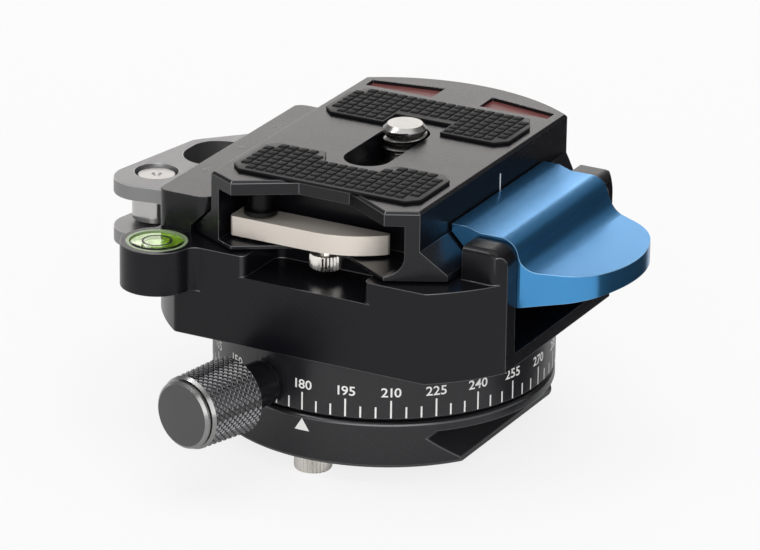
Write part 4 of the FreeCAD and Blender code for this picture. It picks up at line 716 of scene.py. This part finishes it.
class CameraScrew(bpy.types.Operator):
    """Camera screw with a cut thread and a slotted head"""

    bl_idname = "tripodhead.camera_screw"
    bl_label = "Camera screw"

    def execute(self, context):
        pitch = sizes().thread_pitch / MM
        body = turned("camera_screw_cut", (
            (1.0, 27.95), (5.1, 27.95), (5.4, 28.2), (5.4, 29.25), (5.1, 29.5), (2.5, 29.5),
            (2.5, 34.4), (2.62, 34.6), (2.62, 37.9), (3.02, 38.15), (3.02, 38.4), (2.42, 39.0),
            (0.5, 39.0)), 64)
        bpy.ops.object.select_all(action="DESELECT")
        bpy.ops.mesh.primitive_plane_add(size=1, location=(0, 0, 0))
        thread = added("thread")
        edit(thread, "VERT")
        # Profile of the thread at its usual pitch: radius and height in millimetres.
        usual_pitch = 1.27
        corners = ((2.45, -0.58), (3.04, -0.18), (3.04, 0.18), (2.45, 0.58))
        mesh = bmesh.from_edit_mesh(thread.data)
        ring = mesh.faces[:][0].verts[:]
        for vertex, (radius, height) in zip(ring, corners):
            vertex.co = (radius * MM, 0, height * MM * pitch / usual_pitch)
        bmesh.update_edit_mesh(thread.data)
        leave()
        turns, foot = 2.85, 34.75
        modify(thread, "SCREW", angle=FULL * turns, screw_offset=pitch * turns * MM, steps=140,
               render_steps=140, iterations=1, use_normal_calculate=True)
        edit(thread, "EDGE")
        choose(thread, "edges", lambda item: len(item.link_faces) == 1)
        bpy.ops.mesh.edge_face_add()
        bpy.ops.mesh.select_all(action="SELECT")
        bpy.ops.mesh.normals_make_consistent(inside=False)
        leave()
        thread.location = (0, 0, foot * MM)
        bpy.ops.object.transform_apply(location=True, rotation=True, scale=True)
        body = joined([body, thread])
        bpy.ops.object.select_all(action="DESELECT")
        slot_height, slot_length, slot_width, slot_depth = 28.2, 12, 1.4, 1.3
        bpy.ops.mesh.primitive_cube_add(size=1, location=(0, 0, slot_height * MM))
        cutter = added("driver_slot")
        cutter.scale = (slot_length * MM, slot_width * MM, slot_depth * MM)
        modify(body, "BOOLEAN", operation="DIFFERENCE", object=cutter, solver="EXACT",
               use_self=True)
        bpy.data.objects.remove(cutter)
        body.location = (0, SCREW_Y * MM, 0)
        settle(body, "screw", steel("screw_steel", 0, SCREW_Y, 0.22, colours().screw),
               ("camera_screw",), smooth=32)
        return {"FINISHED"}


class RubberPads(bpy.types.Operator):
    """Rubber pads with rows of square nubs"""

    bl_idname = "tripodhead.rubber_pads"
    bl_label = "Rubber pads"

    def execute(self, context):
        pitch, width, height = sizes().nub_pitch, sizes().nub_width, sizes().nub_height
        for node in ("front_pad", "rear_pad"):
            low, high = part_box(node)
            sheet = merged_copy(f"{node}_nubbed", node)
            modify(sheet, "BEVEL", width=sizes().pad_edge, segments=2, limit_method="ANGLE",
                   angle_limit=math.radians(40))
            bpy.ops.object.select_all(action="DESELECT")
            bpy.ops.mesh.primitive_cube_add(size=1, location=(0, 0, 0))
            nub = added("nub")
            nub.scale = (width, width, height)
            bpy.ops.object.transform_apply(location=False, rotation=False, scale=True)
            edit(nub)
            choose(nub, "faces", lambda item: item.normal.z > 0.9)
            bpy.ops.transform.resize(value=(0.86, 0.86, 1), center_override=(0, 0, 0))
            bpy.ops.mesh.bevel(offset=0.09 * MM, segments=2, affect="EDGES")
            choose(nub, "faces", lambda item: item.normal.z < -0.9)
            bpy.ops.mesh.delete(type="FACE")
            leave()
            nubs = []
            across = int((high.x - low.x) / pitch)
            along = int((high.y - low.y) / pitch)
            start_x = (low.x + high.x) / 2 - (across - 1) / 2 * pitch
            start_y = (low.y + high.y) / 2 - (along - 1) / 2 * pitch
            for column in range(across):
                for row in range(along):
                    x, y = start_x + column * pitch, start_y + row * pitch
                    if self.fits(sheet, x, y, width / 2, high.z):
                        copy = nub.copy()
                        copy.data = nub.data.copy()
                        copy.location = (x, y, high.z - height / 2)
                        context.scene.collection.objects.link(copy)
                        nubs.append(copy)
            bpy.data.objects.remove(nub)
            edit(sheet, "VERT")
            choose(sheet, "verts", lambda vertex: vertex.co.z > low.z + 0.3 * MM)
            bpy.ops.transform.translate(value=(0, 0, -height * 0.9))
            leave()
            piece = joined([sheet, *nubs])
            settle(piece, "plate", rubber(), (node,), smooth=35)
            # The ground between the nubs takes the lighter groove finish, a painted highlight
            # between the dark nubs.
            piece.data.materials.append(finish(
                "rubber_groove", colours().groove, 0.5, grain=0.12, tone=0.4, bump=0.3))
            for polygon in piece.data.polygons:
                if polygon.normal.z > 0.9 and polygon.center.z < high.z - height * 0.6:
                    polygon.material_index = 1
        return {"FINISHED"}

    def fits(self, sheet, x, y, half, top):
        """Whether the four corners of a nub stand on the pad."""
        for dx in (-half, half):
            for dy in (-half, half):
                above = Vector((x + dx, y + dy, top + MM))
                hit, spot, _, _ = sheet.ray_cast(above, Vector((0, 0, -1)))
                if not hit or spot.z < top - 0.15 * MM:
                    return False
        return True


class PrintedScale(bpy.types.Operator):
    """White ticks, numbers and index marks"""

    bl_idname = "tripodhead.printed_scale"
    bl_label = "Printed marks"

    def execute(self, context):
        drum, paint = DRUM_RADIUS * MM, white_paint()
        ticks = []
        for angle in range(0, 360, DRUM_TICK_STEP):
            numbered = angle % DRUM_NUMBER_STEP == 0
            tall = sizes().long_tick if numbered else sizes().short_tick
            tick = self.strip(sizes().tick, tall)
            self.wrap(tick, math.radians(angle - 180), drum, DRUM_TICK_FOOT * MM + tall / 2)
            ticks.append(tick)
        for angle in range(0, 360, DRUM_NUMBER_STEP):
            number = self.text(str(angle), sizes().digit)
            self.wrap(number, math.radians(angle - 180), drum, DRUM_NUMBER_HEIGHT * MM)
            ticks.append(number)
        marks = joined(ticks)
        marks.name = "scale_marks"
        settle(marks, "turret", paint, smooth=0)

        bpy.ops.object.select_all(action="DESELECT")
        bpy.ops.mesh.primitive_circle_add(
            vertices=3, radius=1, fill_type="NGON", location=(0, 0, 0))
        pointer = added("index_triangle")
        pointer.scale = (1.27 * MM, 1.17 * MM, 1)
        bpy.ops.object.transform_apply(location=False, rotation=False, scale=True)
        if max(vertex.co.y for vertex in pointer.data.vertices) < 1.1 * MM:
            pointer.rotation_euler = (0, 0, math.pi)
            bpy.ops.object.transform_apply(location=False, rotation=True, scale=False)
        edit(pointer)
        bpy.ops.mesh.subdivide(number_cuts=5)
        leave()
        self.wrap(pointer, 0, drum, POINTER_HEIGHT * MM)
        settle(pointer, "base", paint, smooth=0)

        line = self.strip(0.3 * MM, 3.2 * MM)
        line.rotation_euler = (math.pi / 2, 0, math.pi / 2)
        line.location = [value * MM for value in PLATE_LINE]
        line.name = "plate_index"
        settle(line, "plate", paint, smooth=0)

        marks = []
        for label, y in JAW_MARKS:
            number = self.text(label, 1.0 * MM)
            tick = self.strip(0.12 * MM, 0.8 * MM)
            for mark, x in ((number, JAW_NUMBER_X), (tick, JAW_TICK_X)):
                mark.rotation_euler = (0, 0, -math.pi / 2)
                mark.location = (x * MM, y * MM, JAW_TOP * MM)
                only(mark)
                bpy.ops.object.transform_apply(location=True, rotation=True, scale=True)
                marks.append(mark)
        marks = joined(marks)
        marks.name = "jaw_marks"
        faint = finish("faint_paint", colours().faint, 0.5, grain=0.2, tone=0.5)
        settle(marks, "turret", faint, smooth=0)
        return {"FINISHED"}

    def strip(self, wide, tall):
        """Flat strip, centred."""
        bpy.ops.object.select_all(action="DESELECT")
        bpy.ops.mesh.primitive_plane_add(size=1, location=(0, 0, 0))
        piece = added("strip")
        piece.scale = (wide, tall, 1)
        bpy.ops.object.transform_apply(location=False, rotation=False, scale=True)
        return piece

    def text(self, words, tall):
        """Number as a flat mesh, centred, with figures of the given height."""
        figure_share, wider, heavier = 0.69, 1.1, 0.02
        bpy.ops.object.select_all(action="DESELECT")
        bpy.ops.object.text_add(location=(0, 0, 0))
        piece = added("number")
        piece.data.body = words
        piece.data.size = tall / figure_share
        piece.data.align_x = "CENTER"
        piece.data.offset = tall * heavier
        for index, letter in enumerate(words):
            if letter == "1":
                piece.data.body_format[index].kerning = -6
            elif words[index + 1:index + 2] == "1":
                piece.data.body_format[index].kerning = -4
        piece.data.resolution_u = 3
        bpy.ops.object.convert(target="MESH")
        piece = bpy.context.object
        heights = [vertex.co.y for vertex in piece.data.vertices]
        centre = (max(heights) + min(heights)) / 2
        piece.data.transform(
            Matrix.Diagonal((wider, 1, 1, 1)) @ Matrix.Translation((0, -centre, 0)))
        return piece

    def wrap(self, piece, turn, radius, height):
        """Lay a flat piece on an upright cylinder round the origin."""
        for vertex in piece.data.vertices:
            angle = turn + vertex.co.x / radius
            up = vertex.co.y + height
            vertex.co = (radius * math.sin(angle), -radius * math.cos(angle), up)


class SpiritLevel(bpy.types.Operator):
    """Round spirit level: domed clear lens and the ring printed on it"""

    bl_idname = "tripodhead.spirit_level"
    bl_label = "Spirit level"

    def execute(self, context):
        x, y = LEVEL_PLACE
        low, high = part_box("level_lens")
        top = high.z / MM
        gap_over_fluid = 0.12
        bottom = low.z / MM + gap_over_fluid
        rim = (high.x - low.x) / 2 / MM
        lens = turned("level_lens_domed", (
            (0.4, bottom), (rim, bottom), (rim, top - 0.28), (rim - 0.15, top - 0.16),
            (rim - 0.8, top - 0.06), (rim - 2.0, top - 0.015), (0.4, top)), 64)
        lens.location = (x * MM, y * MM, 0)
        settle(lens, "turret", self.clear(), ("level_lens",), smooth=60)
        inner, outer, under, over = 1.76, 2.06, top - 0.04, top + 0.004
        ring = turned("level_ring", (
            (inner, under), (outer, under), (outer, over), (inner, over)), 64)
        edit(ring)
        choose(ring, "faces", lambda item: len(item.verts) > 8)
        bpy.ops.mesh.delete(type="FACE")
        choose(ring, "edges", lambda item: len(item.link_faces) == 1)
        bpy.ops.mesh.bridge_edge_loops()
        bpy.ops.mesh.select_all(action="SELECT")
        bpy.ops.mesh.normals_make_consistent(inside=False)
        leave()
        ring.location = (x * MM, y * MM, 0)
        settle(ring, "turret", finish("ring_ink", colours().ink, 0.4), smooth=30)
        return {"FINISHED"}

    def clear(self):
        """Clear plastic with a slightly uneven polish."""
        material = bpy.data.materials.new("clear_lens")
        material.use_nodes = True
        shader = material.node_tree.nodes["Principled BSDF"]
        shader.inputs["Base Color"].default_value = (*colours().lens, 1)
        shader.inputs["Transmission Weight"].default_value = 1.0
        shader.inputs["IOR"].default_value = 1.47
        tree = material.node_tree
        noise = add(tree, "TexNoise")
        noise.inputs["Scale"].default_value = 400
        tree.links.new(add(tree, "TexCoord").outputs["Object"], noise.inputs["Vector"])
        level = math_node(tree, "MULTIPLY_ADD", noise.outputs[0], 0.04, 0.01)
        tree.links.new(level, shader.inputs["Roughness"])
        return material


class SmallParts(bpy.types.Operator):
    """Finishes of the screws, pins, springs and rings that keep the shape they have"""

    bl_idname = "tripodhead.small_parts"
    bl_label = "Small parts"

    def execute(self, context):
        fluid = finish("level_fluid", colours().fluid, 0.12, grain=0.8, tone=0.25, bump=0.02,
                       fixed=(("Coat Weight", 0.5), ("Coat Roughness", 0.05)))
        plastic = finish("ring_plastic", colours().plastic, 0.45, grain=0.15, tone=0.12, bump=0.2)
        brass = finish("brass", colours().brass, 0.32, 1.0, grain=0.1, tone=0.15, bump=0.15)
        cup = finish("cup_green", colours().cup, 0.3, grain=0.2, tone=0.3, bump=0.1)
        # Near-black pivot: painted shade under the plate.
        pivot = finish("pivot_dark", colours().pivot, 0.35, grain=0.1, fixed=(("IOR", 1.25),))
        plain = steel()
        rows = (
            (plain, "thread_bush", "retainer_screws", "turret_screws", "jaw_screws",
             "bracket_screws", "lever_pin", "knob_stud", "screw_clip", "screw_washer",
             "pan_retainer"),
            (steel("spring_steel", SPRING_X, 0, 0.35), "lever_springs"),
            (steel("roller_steel", *ROLLER_PLACE, 0.14), "strap_roller"),
            (steel("pin_steel", *ROLLER_PLACE, 0.36), "roller_pin"),
            (pivot, "bar_pivot"),
            (brass, "brake_shoe"),
            (plastic, "slide_ring", "friction_washer"),
            (cup, "level_cup"),
            (fluid, "level_fluid"),
            (red_insert(), "corner_inserts"),
        )
        for material, *names in rows:
            for name in names:
                for place in NODES[name].material_slots:
                    place.material = material
        return {"FINISHED"}


class Stage(bpy.types.Operator):
    """Pale floor, soft studio light and the camera"""

    bl_idname = "tripodhead.stage"
    bl_label = "Stage"

    def execute(self, context):
        bpy.ops.object.select_all(action="DESELECT")
        bpy.ops.mesh.primitive_plane_add(size=14, location=(0, 0, CAD_BOX[0].z - 0.01 * MM))
        floor = added("floor")
        floor.data.materials.append(self.floor_finish())
        self.world(context.scene)
        self.flag()
        for row in LAMPS:
            self.lamp(context.scene, *row)
        self.camera(context.scene)
        return {"FINISHED"}

    def floor_finish(self):
        """Pale floor that keeps its shadow and shows nearly white."""
        material = bpy.data.materials.new("floor_paper")
        material.use_nodes = True
        tree = material.node_tree
        link = tree.links.new
        shader = tree.nodes["Principled BSDF"]
        shader.inputs["Base Color"].default_value = (*colours().floor, 1)
        shader.inputs["Roughness"].default_value = 0.9
        path = add(tree, "LightPath")
        mirrored = math_node(tree, "MULTIPLY", MIRRORED_GLOW, math_node(
            tree, "MAXIMUM", path.outputs["Is Glossy Ray"], path.outputs["Is Transmission Ray"]))
        seen = math_node(tree, "MAXIMUM", path.outputs["Is Camera Ray"], mirrored)
        glow = add(tree, "Emission")
        glow.inputs["Strength"].default_value = 1.0
        both = add(tree, "MixShader")
        link(math_node(tree, "MULTIPLY", seen, FLOOR_GLOW), both.inputs[0])
        link(shader.outputs[0], both.inputs[1])
        link(glow.outputs[0], both.inputs[2])
        clear = add(tree, "BsdfTransparent")
        sides = add(tree, "MixShader")
        link(add(tree, "NewGeometry").outputs["Backfacing"], sides.inputs[0])
        link(both.outputs[0], sides.inputs[1])
        link(clear.outputs[0], sides.inputs[2])
        link(sides.outputs[0], tree.nodes["Material Output"].inputs["Surface"])
        return material

    def flag(self):
        """Dark card behind on the right, seen only in reflections."""
        bpy.ops.object.select_all(action="DESELECT")
        bpy.ops.mesh.primitive_plane_add(
            size=1, location=(*CARD_PLACE, CAD_BOX[0].z + 0.2 * MM))
        card = added("flag")
        card.scale = (*CARD_SIZE, 1)
        bpy.ops.object.transform_apply(location=True, rotation=True, scale=True)
        edit(card, "EDGE")
        choose(card, "edges", lambda item: all(vertex.co.y > 0.2 for vertex in item.verts))
        bpy.ops.mesh.extrude_region_move(TRANSFORM_OT_translate={"value": CARD_RISE})
        leave()
        card.data.materials.append(finish("flag_cloth", colours().card, 0.9))
        for kind in ("camera", "diffuse", "transmission", "shadow", "volume_scatter"):
            setattr(card, f"visible_{kind}", False)

    def world(self, scene):
        """Even soft light, which reflections and the camera see as a pale studio."""
        world = bpy.data.worlds.new("studio")
        scene.world = world
        world.use_nodes = True
        tree = world.node_tree
        link = tree.links.new
        light = tree.nodes["Background"]
        light.inputs["Color"].default_value = (1, 1, 1, 1)
        light.inputs["Strength"].default_value = WORLD_LIGHT
        shown = add(tree, "Background")
        shown.inputs["Color"].default_value = (1, 1, 1, 1)
        path = add(tree, "LightPath")
        split = add(tree, "SeparateXYZ")
        link(add(tree, "TexCoord").outputs["Generated"], split.inputs[0])
        falling = add(tree, "MapRange", interpolation_type="SMOOTHSTEP")
        for socket, value in WORLD_FALL.items():
            falling.inputs[socket].default_value = value
        link(split.outputs[2], falling.inputs["Value"])
        link(math_node(tree, "MAXIMUM", falling.outputs[0], path.outputs["Is Camera Ray"]),
             shown.inputs["Strength"])
        seen = math_node(tree, "MAXIMUM", path.outputs["Is Camera Ray"], math_node(
            tree, "MAXIMUM", path.outputs["Is Glossy Ray"], path.outputs["Is Transmission Ray"]))
        both = add(tree, "MixShader")
        link(seen, both.inputs[0])
        link(light.outputs[0], both.inputs[1])
        link(shown.outputs[0], both.inputs[2])
        link(both.outputs[0], tree.nodes["World Output"].inputs["Surface"])

    def lamp(self, scene, name, place, size, power, tint):
        """Soft rectangular lamp that faces the object."""
        data = bpy.data.lights.new(name, "AREA")
        data.shape = "RECTANGLE"
        data.size, data.size_y = size
        data.energy = power
        data.color = tint
        lamp = bpy.data.objects.new(name, data)
        lamp.location = place
        aim = Vector(LAMP_AIM) - Vector(place)
        lamp.rotation_euler = aim.to_track_quat("-Z", "Y").to_euler()
        lamp.visible_camera = False
        lamp.visible_diffuse = name not in ONLY_IN_REFLECTIONS
        scene.collection.objects.link(lamp)

    def camera(self, scene):
        """Camera at the front right, a little above the object."""
        turn, rise = math.radians(CAMERA_TURN), math.radians(CAMERA_RISE)
        back = Vector((math.sin(turn) * math.cos(rise), -math.cos(turn) * math.cos(rise),
                       math.sin(rise)))
        right = Vector((math.cos(turn), math.sin(turn), 0))
        up = back.cross(right)
        data = bpy.data.cameras.new("camera")
        data.lens = CAMERA_LENS
        data.sensor_width = CAMERA_SENSOR
        data.clip_start = 0.05
        data.clip_end = 40
        camera = bpy.data.objects.new("camera", data)
        view = Matrix((right, up, back)).transposed().to_4x4()
        aim = right * (-CAMERA_AIM_LEFT * MM) + Vector((0, 0, CAMERA_AIM_HEIGHT * MM))
        camera.matrix_world = (Matrix.Translation(aim + back * CAMERA_DISTANCE) @ view
                               @ Matrix.Rotation(math.radians(CAMERA_ROLL), 4, "Z"))
        scene.collection.objects.link(camera)
        scene.camera = camera
        scene.view_settings.view_transform = "Standard"


class HeadPanel(bpy.types.Panel):
    """Sizes, colours and steps of the tripod head"""

    bl_idname = "VIEW3D_PT_tripod_head"
    bl_label = "Tripod head"
    bl_space_type = "VIEW_3D"
    bl_region_type = "UI"
    bl_category = "Tripod Head"

    def draw(self, context):
        for settings in (context.scene.tripod_head_sizes, context.scene.tripod_head_colours):
            box = self.layout.box()
            for name in settings.bl_rna.properties.keys():
                if name not in ("name", "rna_type"):
                    box.prop(settings, name)
        for step in STEPS:
            self.layout.operator(step.bl_idname)


STEPS = (SofterMetal, KnurledKnob, StopScrews, CameraScrew, RubberPads, PrintedScale,
         SpiritLevel, SmallParts, Stage)


def register():
    for item in (HeadSizes, HeadColours, *STEPS, HeadPanel):
        bpy.utils.register_class(item)
    bpy.types.Scene.tripod_head_sizes = bpy.props.PointerProperty(type=HeadSizes)
    bpy.types.Scene.tripod_head_colours = bpy.props.PointerProperty(type=HeadColours)


def unregister():
    del bpy.types.Scene.tripod_head_sizes
    del bpy.types.Scene.tripod_head_colours
    for item in (HeadPanel, *reversed(STEPS), HeadColours, HeadSizes):
        bpy.utils.unregister_class(item)


def main():
    register()
    bpy.ops.tripodhead.softer_metal()
    bpy.ops.tripodhead.knurled_knob()
    bpy.ops.tripodhead.stop_screws()
    bpy.ops.tripodhead.camera_screw()
    bpy.ops.tripodhead.rubber_pads()
    bpy.ops.tripodhead.printed_scale()
    bpy.ops.tripodhead.spirit_level()
    bpy.ops.tripodhead.small_parts()
    bpy.ops.tripodhead.stage()


if __name__ == "__main__":
    main()
